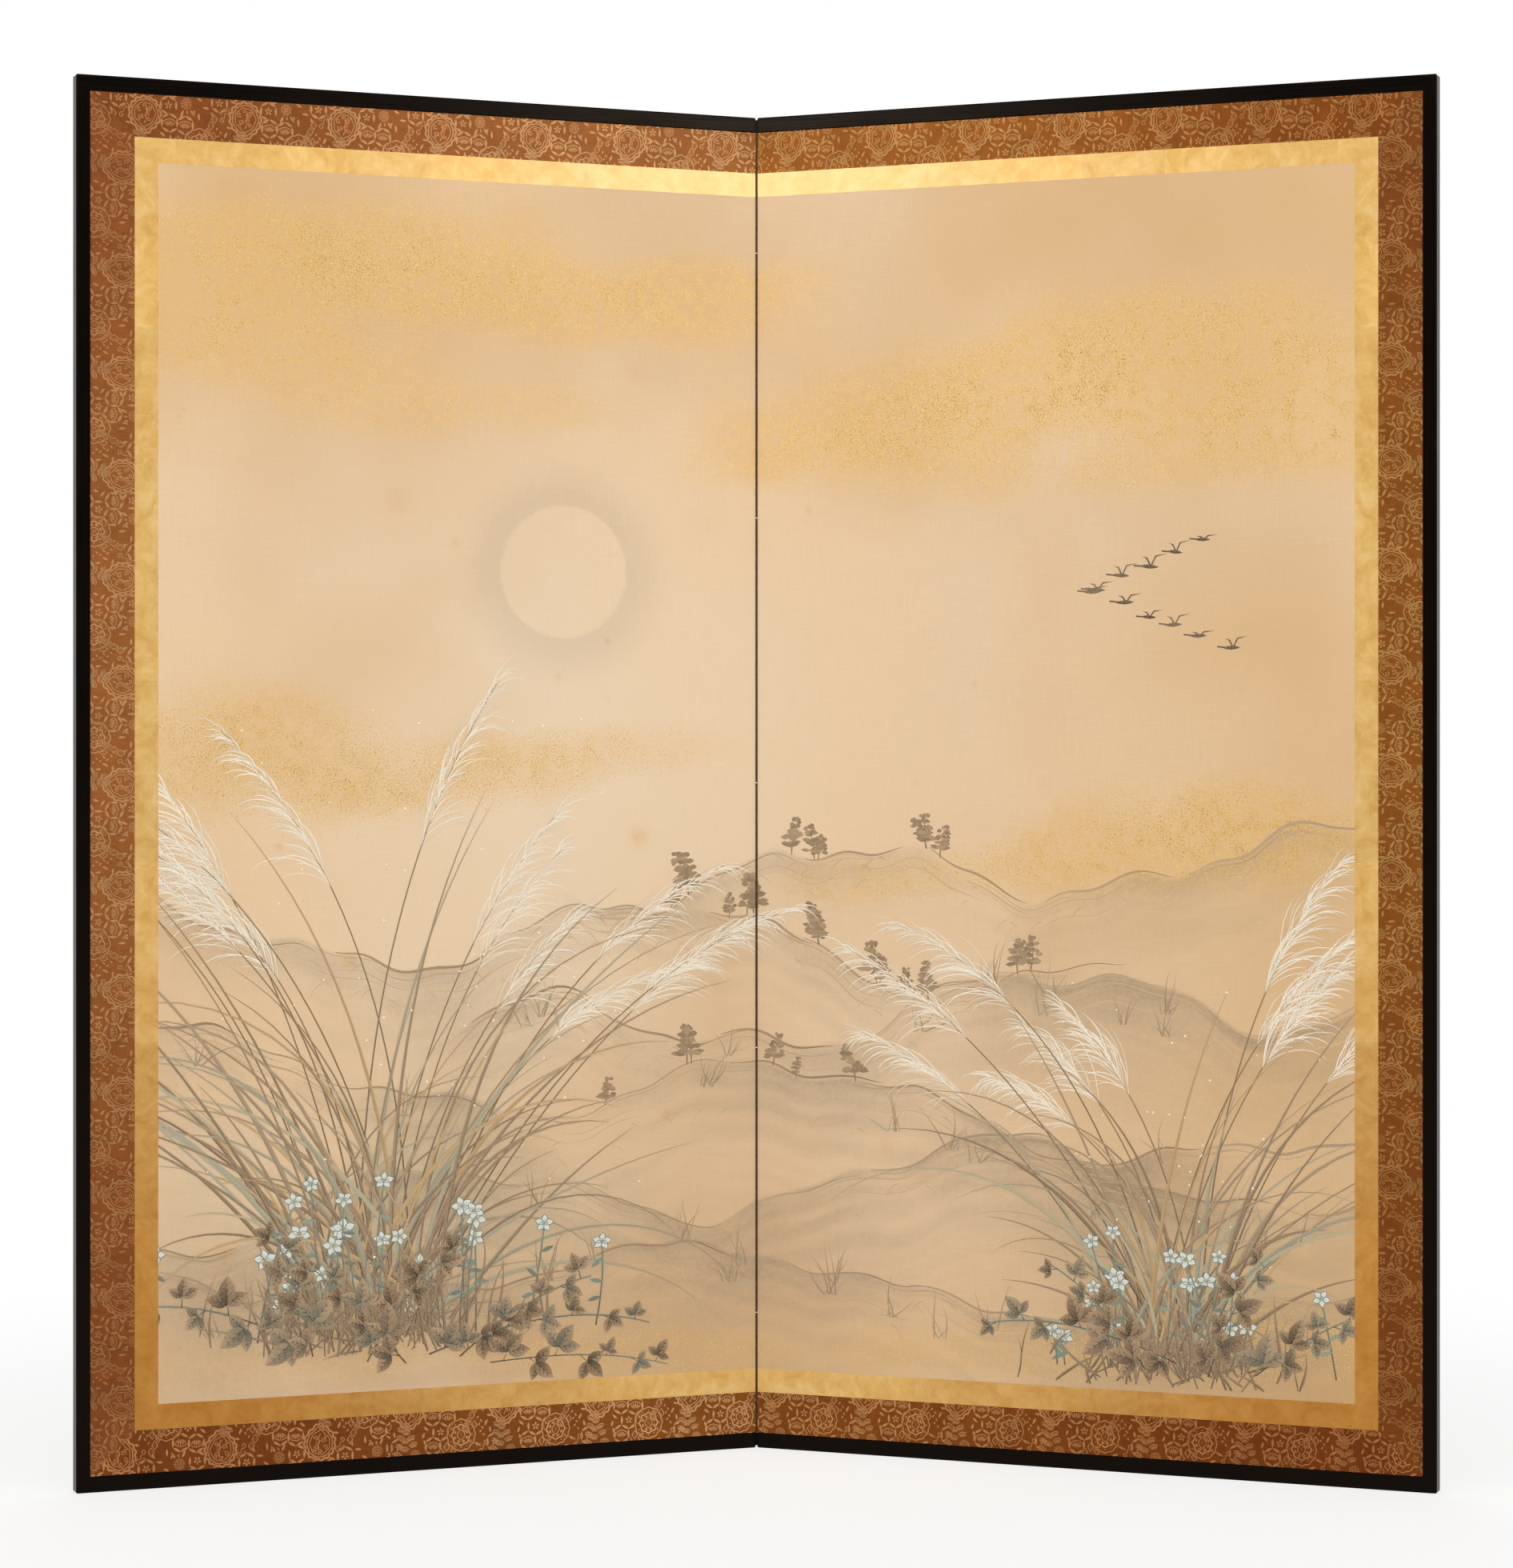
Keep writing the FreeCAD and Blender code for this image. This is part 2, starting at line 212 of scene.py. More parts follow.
def makeGoldLeaf(side, along):
    # beaten gold leaf laid in squares on paper: faintly mottled, each square its own tone, doubled where they lap,
    # with a painted highlight at the top beside the fold and painted shade in the lower outer corner
    node = startMaterial("gold_leaf_%s_%s" % (side, along), {"Metallic": 0.45})
    plain = panelPlace(node, side)
    mottle = node("TexNoise", {"Vector": plain, "Scale": 0.035, "Detail": 7.0, "Roughness": 0.66, "Distortion": 0.5})
    colour = node("ValToRGB", {"Fac": mottle}, [
        (0.34, goldLook["deep"]), (0.5, goldLook["mid"]), (0.67, goldLook["pale"])])
    leaf = 1 / goldLook["leafMm"]
    square = panelPlace(node, side, (leaf, 0.001, 0.001) if along == "u" else (0.001, 0.001, leaf))
    cell = node("VectorMath", {0: square}, operation="FLOOR")
    tone = node("TexWhiteNoise", {"Vector": cell}, noise_dimensions="3D")
    value = node("MapRange", {"Value": tone, "To Min": 0.94, "To Max": 1.04})
    toned = node("HueSaturation", {"Color": colour, "Value": value})
    lap = lapShare(node, square, "X" if along == "u" else "Z", 0.02, 0.2)
    lapped = node("Mix", {"Factor": lap, "A": toned, "B": goldLook["lap"]}, data_type="RGBA")
    # painted highlight: paler at the top beside the fold
    highlit = node("Mix", {"Factor": paintedLightShare(node, plain, "head", 0.2), "A": lapped, "B": goldLook["wearAndHighlight"]},
                data_type="RGBA")
    # painted shade: darker towards the lower outer corner
    node("Mix", {"Factor": paintedLightShare(node, plain, "foot"), "A": highlit, "B": goldLook["toned"]},
         to="Base Color", data_type="RGBA", blend_type="MULTIPLY")
    low, high = goldLook["roughness"]
    node("MapRange", {"Value": mottle, "To Min": low, "To Max": high}, to="Roughness")
    creases = node("TexNoise", {"Vector": panelPlace(node, side, (1, 1, 0.25)), "Scale": 0.3, "Detail": 5.0})
    node("Bump", {"Height": creases, "Distance": 0.0001, "Strength": 0.35}, to="Normal")


# Each panel's strips have their own ground, thread and orange thread: besides the cloth's colour, these tones hold
# painted light and shade, with the right panel's darker, and painted sheen, as strips cut along and across the cloth
# shine differently.
clothLook = {
    "threadMm": 0.7,  # spacing of the ground's ribs, drawn coarser than the real 0.3 so that they show
    "spread": (0.8, 1.0, 1.2),  # how far a tone wanders from dark to light
    "lustre": {"level": 0.45, "upright": 0.15, "thread": 0.1},  # of the level and upright strips' ground, and on it
    "toned": "#E2D1C4",  # painted shade: what the colours are multiplied by in the outer corners, where less light falls
    "left_top": ("#925828", "#C89563", "#C17030"),
    "left_side": ("#985B2A", "#BA8959", "#A86C3F"),
    "left_bottom": ("#915521", "#D49F6C", "#A66939"),
    "right_top": ("#90531A", "#BB894E", "#BC6B22"),
    "right_side": ("#894E15", "#B08149", "#9E5E24"),
    "right_bottom": ("#8A4C19", "#C38C56", "#9A5A26"),
}
strips = ("top", "bottom", "side")


def makeCloth(kind, side, strip, which, lustre):
    # figured silk: a ribbed ground with slubs; the filament's lustre takes its own colour, so it is part metallic
    tone = clothLook["%s_%s" % (side, strip)][which]
    node = startMaterial("%s_%s_%s" % (kind, side, strip), {
        "Roughness": 0.4, "Metallic": lustre, "Sheen Weight": 0.06, "Sheen Roughness": 0.4, "Sheen Tint": tone,
        "Specular IOR Level": 0.15})
    plain = panelPlace(node, side)
    cloudy = node("TexNoise", {"Vector": plain, "Scale": 0.022, "Detail": 5.0, "Roughness": 0.6})
    slub, cross = (node("TexNoise", {"Vector": panelPlace(node, side, stretch), "Scale": 1.1, "Detail": 3.0})
                   for stretch in ((1.0, 1.0, 0.06), (0.06, 1.0, 1.0)))
    total = node("Math", {0: slub, 1: cross}, operation="ADD")
    total = node("Math", {0: total, 1: cloudy}, operation="ADD")
    third = node("Math", {0: total, 1: 3.0}, operation="DIVIDE")
    tones = [[share * c for c in linear(tone)[:3]] + [1.0] for share in clothLook["spread"]]
    woven = node("ValToRGB", {"Fac": third}, list(zip((0.4, 0.5, 0.6), tones)))
    # painted shade: darker towards the upper and lower outer corners
    for place, target in (("shoulder", None), ("foot", "Base Color")):
        woven = node("Mix", {"Factor": paintedLightShare(node, plain, place), "A": woven, "B": clothLook["toned"]},
                     to=target, data_type="RGBA", blend_type="MULTIPLY")
    ribs = node("TexWave", {"Vector": plain, "Scale": 0.314 / clothLook["threadMm"], "Distortion": 0.4},
                bands_direction="DIAGONAL")
    node("Bump", {"Height": ribs, "Distance": 0.00012, "Strength": 0.4}, to="Normal")


silkLook = {
    "base": "#E6C69F",
    "cool": "#E3C6A3",
    "warm": "#E5C398",
    "weaveMm": 1.1,  # the plain weave, drawn coarser than the real 0.3 so that it shows
    "layers": {  # colour, how much the grain breaks it up, and its full strength
        # a painted pool of light, middle left
        "pale": ("#EFDABD", 0.9, 1.0, 1.0),
        # random toning by age, with painted shade towards the top, the bottom and the right panel's outer edge
        "ageAndPaintedLight": ("#D1A975", 0.9, 1.0, 1.0),
        "haze": ("#E2B56F", 0.3, 1.0, 0.6),
        "fox": ("#D8A25E", 0.5, 1.1, 0.75),
        "tint": ("#9FB3A2", 0.8, 1.1, 0.8),
        "wash": ("#6E655A", 0.72, 1.15, 0.9),
    },
}


def makeSilk(side):
    # plain silk mounted on paper, toned by age and with painted light and shade; washes of ink and gold haze, the
    # painted pool of light and the painted shade come from the piece's attributes
    node = startMaterial("painted_silk_" + side, {
        "Roughness": 0.72, "Specular IOR Level": 0.2, "Sheen Weight": 0.06, "Sheen Roughness": 0.5})
    plain = panelPlace(node, side)
    tone = node("TexNoise", {"Vector": plain, "Scale": 0.0022, "Detail": 3.0, "Roughness": 0.5})
    colour = node("ValToRGB", {"Fac": tone}, [
        (0.34, silkLook["warm"]), (0.5, silkLook["base"]), (0.66, silkLook["cool"])])
    thread = 1 / silkLook["weaveMm"]
    warp, weft = (node("TexNoise", {"Vector": panelPlace(node, side, stretch), "Scale": 1.0, "Detail": 3.0})
                  for stretch in ((thread, 1.0, thread * 0.03), (thread * 0.03, 1.0, thread)))
    weave = node("Math", {0: warp, 1: weft}, operation="ADD")
    lift = node("MapRange", {"Value": weave, "From Min": 0.7, "From Max": 1.3, "To Min": 0.955, "To Max": 1.045})
    last = node("HueSaturation", {"Color": colour, "Value": lift})
    grain = node("TexNoise", {"Vector": plain, "Scale": 0.16, "Detail": 6.0, "Roughness": 0.7})
    for name, (shade, low, high, most) in silkLook["layers"].items():
        amount = node("Attribute", attribute_name=name).outputs["Fac"]
        mottled = node("MapRange", {
            "Value": grain, "From Min": 0.3, "From Max": 0.7, "To Min": low * most, "To Max": high * most})
        kept = node("Math", {0: amount, 1: mottled}, operation="MULTIPLY", use_clamp=True)
        last = node("Mix", {"Factor": kept, "A": last, "B": shade}, data_type="RGBA",
                    to="Base Color" if name == "wash" else None)
    node("Bump", {"Height": weave, "Distance": 0.00006, "Strength": 0.5}, to="Normal")


# bare woods, papers and wire: stops of the grain, its scale per mm, its stretch, roughness, bump and detail
grainLooks = {
    "planed_cedar_upright": (("#9C6F48", "#B98A5E", "#CBA074"), 0.9, (1, 1, 0.04), 0.6, 0.0001, 5.0),
    "planed_cedar_level": (("#9C6F48", "#B98A5E", "#CBA074"), 0.9, (0.04, 1, 1), 0.6, 0.0001, 5.0),
    "mulberry_paper": (("#CBBE9F", "#D8CCAF", "#E2D8BE"), 0.05, (1, 1, 1), 0.85, 0.0002, 8.0),
    "hinge_paper": (("#3F2919", "#543922", "#6B4D2E"), 0.2, (1, 1, 1), 0.8, 0.0001, 6.0),
    "planed_cypress": (("#C6A26C", "#D6B680", "#E0C594"), 1.2, (1, 1, 0.05), 0.55, 0.0001, 5.0),
    "split_bamboo": (("#B79C62", "#C8AF75", "#D5BF89"), 1.6, (0.05, 1, 1), 0.5, 0.0001, 5.0),
    "drawn_steel": (("#6B6864", "#7C7975", "#8B8884"), 3.0, (1, 1, 1), 0.42, 0.00005, 4.0),
    "block_print": (("#5F5D41", "#857748", "#A2915F"), 0.12, (1, 1, 1), 0.8, 0.00005, 8.0),
}


def makeGrainy(kind, side):
    # woods, papers, ochre print and wire whose look is one stretched grain
    tones, scale, stretch, roughness, bump, detail = grainLooks[kind]
    node = startMaterial("%s_%s" % (kind, side), {
        "Roughness": roughness, "Specular IOR Level": 0.25, "Metallic": float(kind == "drawn_steel")})
    grain = node("TexNoise", {"Vector": panelPlace(node, side, stretch), "Scale": scale, "Detail": detail,
                              "Roughness": 0.6, "Distortion": 0.3})
    node("ValToRGB", {"Fac": grain}, list(zip((0.3, 0.5, 0.7), tones)), "Base Color")
    node("Bump", {"Height": grain, "Distance": bump, "Strength": 0.5}, to="Normal")


backLook = {
    "ground": ("#39412F", "#454E3A", "#525B44"),
    "lap": "#2C3325",
    "sheetMm": 420.0,  # height of one sheet of the printed paper
}


def makeBackPaper(side):
    # stout printed paper in a faded green, pasted on in overlapping sheets
    node = startMaterial("printed_paper_" + side, {"Roughness": 0.82, "Specular IOR Level": 0.2})
    plain = panelPlace(node, side)
    tone = node("TexNoise", {"Vector": plain, "Scale": 0.009, "Detail": 7.0, "Roughness": 0.62})
    colour = node("ValToRGB", {"Fac": tone}, list(zip((0.32, 0.5, 0.7), backLook["ground"])))
    square = panelPlace(node, side, (0.001, 0.001, 1 / backLook["sheetMm"]))
    lap = lapShare(node, square, "Z", 0.012, 0.55)
    node("Mix", {"Factor": lap, "A": colour, "B": backLook["lap"]}, to="Base Color", data_type="RGBA")
    fibre = node("TexNoise", {"Vector": plain, "Scale": 0.8, "Detail": 6.0})
    node("Bump", {"Height": fibre, "Distance": 0.0001, "Strength": 0.4}, to="Normal")


# what finish each of a panel's own pieces has
panelFinishes = {
    "black_lacquer_%s_u": "top_rail bottom_rail",
    "black_lacquer_%s_z": "side_rail",
    "gold_leaf_%s_u": "gold_top gold_bottom",
    "gold_leaf_%s_z": "gold_side",
    "figured_silk_ground_%s_top": "brocade_top",
    "figured_silk_ground_%s_bottom": "brocade_bottom",
    "figured_silk_ground_%s_side": "brocade_side",
    "printed_paper_%s": "back_paper",
    "planed_cedar_upright_%s": "fold_stile outer_stile lattice_uprights",
    "planed_cedar_level_%s": "core_top_rail core_bottom_rail lattice_crossbars corner_braces",
    "split_bamboo_%s": "core_pegs",
    "planed_cypress_%s": "mitre_keys",
    "drawn_steel_%s": "rail_pins",
    "mulberry_paper_%s": "silk_picture front_lining back_lining",
    "hinge_paper_%s": "edge_paper front_hinge_flaps back_hinge_flaps",
}


def finishNode(name, finish):
    slots = nodes[name].data.materials
    slots.clear()
    slots.append(bpy.data.materials[finish])


for side in sides:
    for kind in grainLooks:
        makeGrainy(kind, side)
    makeBackPaper(side)
    for along in "uz":
        makeLacquer(side, along)
        makeGoldLeaf(side, along)
    for strip in strips:
        lustre = clothLook["lustre"]
        makeCloth("figured_silk_ground", side, strip, 0, lustre["upright" if strip == "side" else "level"])
        makeCloth("raised_silk_thread", side, strip, 1, lustre["thread"])
        makeCloth("orange_silk_thread", side, strip, 2, lustre["thread"])
    for finish, parts in panelFinishes.items():
        for part in parts.split():
            finishNode("%s_%s" % (side, part), finish % side)
for leaf in "ab":
    finishNode("hinge_leaves_" + leaf, "hinge_paper_right")
print("finishes on the frame's own pieces")


def link(name, data):
    made = bpy.data.objects.new(name, data)
    bpy.context.scene.collection.objects.link(made)
    return made


def mount(name, mesh, slot, *finishes, body=None):
    # a piece with its finishes, on its own panel unless another body is given
    for finish in finishes:
        mesh.materials.append(bpy.data.materials[finish])
    piece = link(name, mesh)
    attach(piece, body or name.split("_")[0] + "_panel")
    print(name, len(mesh.polygons), "faces")
    return piece


def newMesh(name, verts, faces):
    made = bpy.data.meshes.new(name)
    made.from_pydata(verts, [], faces)
    return made


def around(x, y, a, rx, ry=None):
    return x + rx * cos(a), y + (rx if ry is None else ry) * sin(a)


def turns(count, start=0.0):
    # so many angles evenly round a circle, the first that share of a step on
    return [tau * (i + start) / count for i in range(count)]


def ribbon(points, width, closed=False, taper=None):
    # a flat strip along points in (s, t): its vertices and faces
    count = len(points)
    verts = []
    for i, (x, y) in enumerate(points):
        if closed:
            (x0, y0), (x1, y1) = points[i - 1], points[(i + 1) % count]
        else:
            (x0, y0), (x1, y1) = points[max(i - 1, 0)], points[min(i + 1, count - 1)]
        length = hypot(x1 - x0, y1 - y0) or 1.0
        nx, ny = -(y1 - y0) / length, (x1 - x0) / length
        half = width / 2 * (taper(i / (count - 1)) if taper else 1.0)
        verts += [(x + nx * half, y + ny * half), (x - nx * half, y - ny * half)]
    last = count if closed else count - 1
    return verts, [(2 * i, 2 * i + 1, (2 * i + 3) % (2 * count), (2 * i + 2) % (2 * count)) for i in range(last)]


def lens(x, y, length, width, angle, parts=4):
    # a filled leaf, pointed at both ends
    c, s = cos(angle), sin(angle)
    upper = [(length * (i / parts - 0.5), width / 2 * sin(pi * i / parts)) for i in range(parts + 1)]
    outline = upper + [(a, -b) for a, b in upper[-2:0:-1]]
    return [(x + a * c - b * s, y + a * s + b * c) for a, b in outline], [tuple(range(len(outline)))]


def ring(x, y, rx, ry, parts, wave=0.0, waves=8):
    waved = [1 + wave * cos(waves * a) for a in turns(parts)]
    return [around(x, y, a, rx * r, ry * r) for a, r in zip(turns(parts), waved)]


def disc(x, y, rx, ry, parts):
    return ring(x, y, rx, ry, parts), [tuple(range(parts))]


def spiral(x, y, radius, winds, start, hand=1, parts=10):
    shares = [i / parts for i in range(parts + 1)]
    return [around(x, y, start + hand * tau * winds * f, radius * (1 - 0.82 * f)) for f in shares]


class Figures:
    # gathers flat shapes and turns them into one mesh
    def __init__(self):
        self.verts = []
        self.faces = []

    def add(self, shape):
        verts, faces = shape
        start = len(self.verts)
        self.verts += verts
        self.faces += [tuple(start + i for i in face) for face in faces]

    def line(self, points, width, closed=False):
        self.add(ribbon(points, width, closed))

    def dot(self, x, y, radius, parts):
        self.add(disc(x, y, radius, radius, parts))

    def mesh(self, name):
        return newMesh(name, [(a, 0.0, b) for a, b in self.verts], self.faces)


def startTree(name, sockets):
    # a geometry tree with these inputs, what adds a node to it, and the inputs' own sockets
    tree = bpy.data.node_groups.new(name, "GeometryNodeTree")
    for label, kind in sockets.items():
        tree.interface.new_socket(label, in_out="INPUT", socket_type="NodeSocket" + kind)
    tree.interface.new_socket("Geometry", in_out="OUTPUT", socket_type="NodeSocketGeometry")
    node = partial(addNode, tree)
    return tree, node, node("NodeGroupInput").outputs


def makeRepeatTree():
    # copies of one tile set out in rows and columns
    tree, node, given = startTree("set_out_tiles", {
        "Tile": "Object", "Columns": "Int", "Rows": "Int", "Across": "Float", "Up": "Float"})
    tiles = node("GeometryNodeObjectInfo", {"Object": given["Tile"]}).outputs["Geometry"]
    for count, step, axis in (("Columns", "Across", "X"), ("Rows", "Up", "Z")):
        offset = node("CombineXYZ", {axis: given[step]})
        row = node("GeometryNodeMeshLine", {"Count": given[count], "Offset": offset})
        tiles = node("GeometryNodeInstanceOnPoints", {"Points": row, "Instance": tiles})
    real = node("GeometryNodeRealizeInstances", {"Geometry": tiles})
    node("NodeGroupOutput", {"Geometry": real})
    return tree


def runTree(tree, values, base=None):
    # runs a tree on a carrier object and returns the result as a plain mesh
    carrier = link("carrier", base or bpy.data.meshes.new("carrier"))
    modifier = carrier.modifiers.new("tree", "NODES")
    modifier.node_group = tree
    for item in tree.interface.items_tree:
        if item.in_out == "INPUT" and item.name in values:
            modifier[item.identifier] = values[item.name]
    bpy.context.view_layer.update()
    result = carrier.evaluated_get(bpy.context.evaluated_depsgraph_get())
    mesh = bpy.data.meshes.new_from_object(result)
    carrier.modifiers.remove(modifier)
    bpy.data.objects.remove(carrier)
    return mesh


def boxCuts(outer, low, high):
    # the cuts along the edges of a sheet that reaches from the fold to outer
    corners = [screen["foldEdge"], screen[outer], screen[low], screen[high]]
    return [((place, place), away) for place, away in zip(corners, ((-1, 0), (1, 0), (0, -1), (0, 1)))]


def trimmed(mesh, cuts):
    # cuts are (point, direction) in (u, z); what lies past each in its direction goes
    work = bmesh.new()
    work.from_mesh(mesh)
    for (u, z), (du, dz) in cuts:
        everything = work.verts[:] + work.edges[:] + work.faces[:]
        bmesh.ops.bisect_plane(work, geom=everything, plane_co=(u, 0, z), plane_no=(du, 0, dz), clear_outer=True)
    work.to_mesh(mesh)
    work.free()
    return mesh


def joined(meshes, side, v, name):
    # flat (u, 0, z) meshes put on the panel at depth v, as one mesh that faces away from the panel
    work = bmesh.new()
    for mesh in meshes:
        work.from_mesh(mesh)
    bmesh.ops.translate(work, verts=work.verts, vec=(0, v, 0))
    bmesh.ops.transform(work, verts=work.verts, matrix=panelMatrix(side))
    outward = panelMatrix(side).to_3x3() @ Vector((0, -1 if v < screen["paperBack"] / 2 else 1, 0))
    work.normal_update()
    bmesh.ops.reverse_faces(work, faces=[face for face in work.faces if face.normal.dot(outward) < 0])
    made = bpy.data.meshes.new(name)
    work.to_mesh(made)
    work.free()
    return made


# one repeat of the cloth: s to the right, t down, in millimetres from the cloud medallion's middle
clothFigures = {
    "repeatMm": 125.2,
    "reach": 16,  # repeats to either side, more than the longest strip takes
    "rim": 2.4,
    "line": 1.4,
    "fineLine": 1.05,
    "lift": 0.14,  # the figures stand this far proud of the ground
    "accentShare": 0.8,  # of that lift, for the orange accents
    "rosette": (67.7, 35.0),
    "curls": ((-7.5, -5.5, 3.4, 0.5, 1), (-4.5, 3.0, 3.6, 3.6, -1), (-7.0, 8.0, 2.6, 1.0, 1),
              (5.8, 7.0, 2.8, 4.4, -1), (7.2, -7.5, 2.6, 2.2, 1), (-1.0, -9.5, 2.6, 0.2, -1)),
    "hexagons": ((29.2, -11.5, "flower", (1,)), (30.5, 10.0, "fan", ()), (50.0, 12.0, "fan", (3,)),
                 (92.7, -17.5, "flower", ()), (41.0, 29.5, "flower", (4, 5)), (31.0, 47.0, "fan", (5,)),
                 (112.0, 46.0, "flower", (0, 1))),  # place, what is inside, which leaves are left out
    "daisies": ((51.5, -14.4), (8.0, 57.5)),
    "lozenges": ((86.5, 2.3), (82.0, 10.6), (77.4, 19.0), (85.2, 23.4), (72.6, 26.0), (49.0, 49.0), (57.5, 53.5),
                 (41.5, 55.5)),
    "scrolls": ((99.5, -3.0, 1.0), (97.0, 51.0, 0.9), (9.5, -24.0, 0.8)),
    "fans": ((-6.0, 9.0, 1.9), (-12.5, 14.0, 1.9), (-5.0, 18.0, 1.6), (-14.0, 24.0, 2.0), (-5.5, 28.5, 1.5),
             (-15.5, 34.5, 2.0), (-7.5, 38.5, 1.7), (-17.5, 44.5, 2.1), (3.0, 25.0, 1.2), (5.5, 33.5, 1.3)),
    "leaves": ((100.5, 21.0, 9.0, -1.1), (67.0, 0.5, 10.0, 1.5), (60.5, -4.0, 7.5, 2.1), (76.0, -10.5, 9.0, 0.1),
               (84.0, -2.5, 8.0, 1.2), (109.5, -20.0, 9.0, 0.4), (22.0, 24.5, 9.0, 0.7), (18.5, 33.0, 8.0, 1.9),
               (20.5, 42.0, 8.0, 1.2), (89.0, 47.5, 9.0, 0.5), (81.0, 57.0, 9.0, -0.3), (66.0, 60.5, 8.0, 0.1),
               (106.0, 30.0, 8.0, 1.4), (68.0, -20.5, 8.0, 0.5), (36.0, -22.5, 8.0, 0.1),
               (-12.0, -22.0, 7.0, -0.6), (104.5, 12.0, 7.0, 0.2)),
}


def drawTile():
    threads, accents = Figures(), Figures()
    line, fine = clothFigures["line"], clothFigures["fineLine"]

    # cloud medallion: wavy outlines drawn to a point below, curls and a spray inside
    for scale, wave, waves, parts, width in (
            (1.0, 0.05, 15, 75, clothFigures["rim"]), (0.83, 0.02, 9, 36, line), (0.66, 0.05, 7, 28, fine)):
        points = []
        for a in turns(parts):
            point = max(0.0, sin(a)) ** 6
            r = scale * (1 + wave * cos(waves * a))
            points.append((19.5 * r * cos(a) * (1 - 0.2 * point), 20.5 * r * sin(a) * (1 + 0.2 * point)))
        threads.line(points, width, True)
    for x, y, radius, start, hand in clothFigures["curls"]:
        threads.line(spiral(x, y, radius, 1.1, start, hand), fine)
    threads.line([(-1, 12), (1.8, 7), (0.2, 2), (2.6, -2), (1.2, -6.5)], line)
    for angle, reach in ((-2.0, 3.4), (-1.2, 4.0), (-0.5, 3.2), (2.6, 3.4), (2.0, 4.0)):
        threads.add(lens(*around(3.6, -1, angle, reach, 2 * reach), 4.6, 1.5, angle))
    accents.add(lens(3.8, -1.5, 12.5, 4.2, 1.45))
    accents.add(lens(-3.4, 5.2, 5.5, 2.2, 0.6))

    # rosette: scalloped rim, ring of petals, small heart
    rx, ry = clothFigures["rosette"]
    for wide, high, parts, wave, waves, width in (
            (18.2, 19.6, 64, 0.03, 12, line), (11.6, 12.4, 48, 0.07, 8, 2.0), (4.6, 6.0, 16, 0.08, 4, 1.2)):
        threads.line(ring(rx, ry, wide, high, parts, wave, waves), width, True)
    for a in turns(8, 0.5):
        threads.add(lens(*around(rx, ry, a, 8.0, 8.6), 4.8, 2.8, a + pi / 2))
    for i, a in enumerate(turns(12)):
        place = around(rx, ry, a, 14.8, 15.8)
        if i % 3 == 1:
            threads.line(spiral(*place, 2.0, 0.9, a), fine)
        else:
            threads.dot(*place, 0.95, 5)
    accents.add(lens(rx, ry, 7.4, 4.0, pi / 2))
    for a in turns(4, 0.5):
        accents.dot(*around(rx, ry, a, 14.6, 15.5), 1.2, 5)

    def fan(x, y, angle, reach):
        ribs = [angle + radians(-48 + 24 * i) for i in range(5)]
        for a in ribs:
            threads.add(lens(*around(x, y, a, reach * 0.56), reach * 0.8, 0.12 * reach + 0.6, a, 2))
        threads.line([around(x, y, a, reach) for a in ribs], fine)

    # hexagons of leaves, with a small flower or a fan inside
    for x, y, inside, missing in clothFigures["hexagons"]:
        for i, a in enumerate(turns(6)):
            if i not in missing:
                threads.add(lens(*around(x, y, a, 9.4, 10.2), 11.6, 3.3, a + pi / 2))
        if inside == "flower":
            for a in turns(5):
                threads.add(lens(*around(x, y, a - pi / 2, 3.1), 4.2, 2.4, a - pi / 2))
            accents.dot(x, y, 1.0, 5)
        else:
            fan(x, y + 5.4, -pi / 2, 10.4)

    for x, y in clothFigures["daisies"]:
        for a in turns(16):
            threads.add(lens(*around(x, y, a, 5.4, 5.8), 5.0, 1.35, a, 2))
        threads.line(ring(x, y, 2.4, 2.6, 10), 0.8, True)
        accents.dot(x, y, 2.3, 7)
        for angle, hand in ((0.95, 1), (2.0, -1)):
            threads.add(lens(*around(x, y, angle, 13, 13.5), 10.0, 3.2, angle))
            threads.add(lens(*around(x, y, angle + 0.5 * hand, 10.5), 5.0, 2.0, angle + 0.5 * hand))

    # chain of lozenges with lit middles
    for x, y in clothFigures["lozenges"]:
        threads.line([(x - 3.6, y), (x, y - 5.4), (x + 3.6, y), (x, y + 5.4)], 1.5, True)
        accents.dot(x, y, 1.5, 4)

    # paired scrolls
    for x, y, size in clothFigures["scrolls"]:
        upper = spiral(x + 2.6 * size, y - 6.0 * size, 4.0 * size, 1.15, 2.2, -1, 12)[::-1]
        lower = spiral(x - 2.8 * size, y + 6.4 * size, 3.8 * size, 1.15, 5.3, -1, 12)
        threads.line(upper + [(x, y)] + lower, fine)
        threads.line(spiral(x - 4.6 * size, y - 3.0 * size, 2.2 * size, 0.9, 0.4, 1, 7), 0.8)

    # hanging chains of little fans
    for x, y, angle in clothFigures["fans"]:
        fan(x + 1.0, y + 14.5, angle + pi, 7.4)

    # spike of small leaves, loose leaves
    for i in range(6):
        threads.add(lens(91.5 + 0.9 * i + (1.8 if i % 2 else -1.8), 14.0 + 4.4 * i, 4.6, 2.0, 0.9 if i % 2 else 2.2))
    for x, y, length, angle in clothFigures["leaves"]:
        threads.add(lens(x, y, length, 3.0, angle))
        if length > 8.5:
            accents.add(lens(x, y, length * 0.45, 0.9, angle, 2))
    return threads, accents


repeatTree = makeRepeatTree()
threadTile, accentTile = (link(name, figures.mesh(name)) for name, figures in zip(
    ("thread_tile", "accent_tile"), drawTile()))
print("cloth repeat:", len(threadTile.data.polygons), "faces")

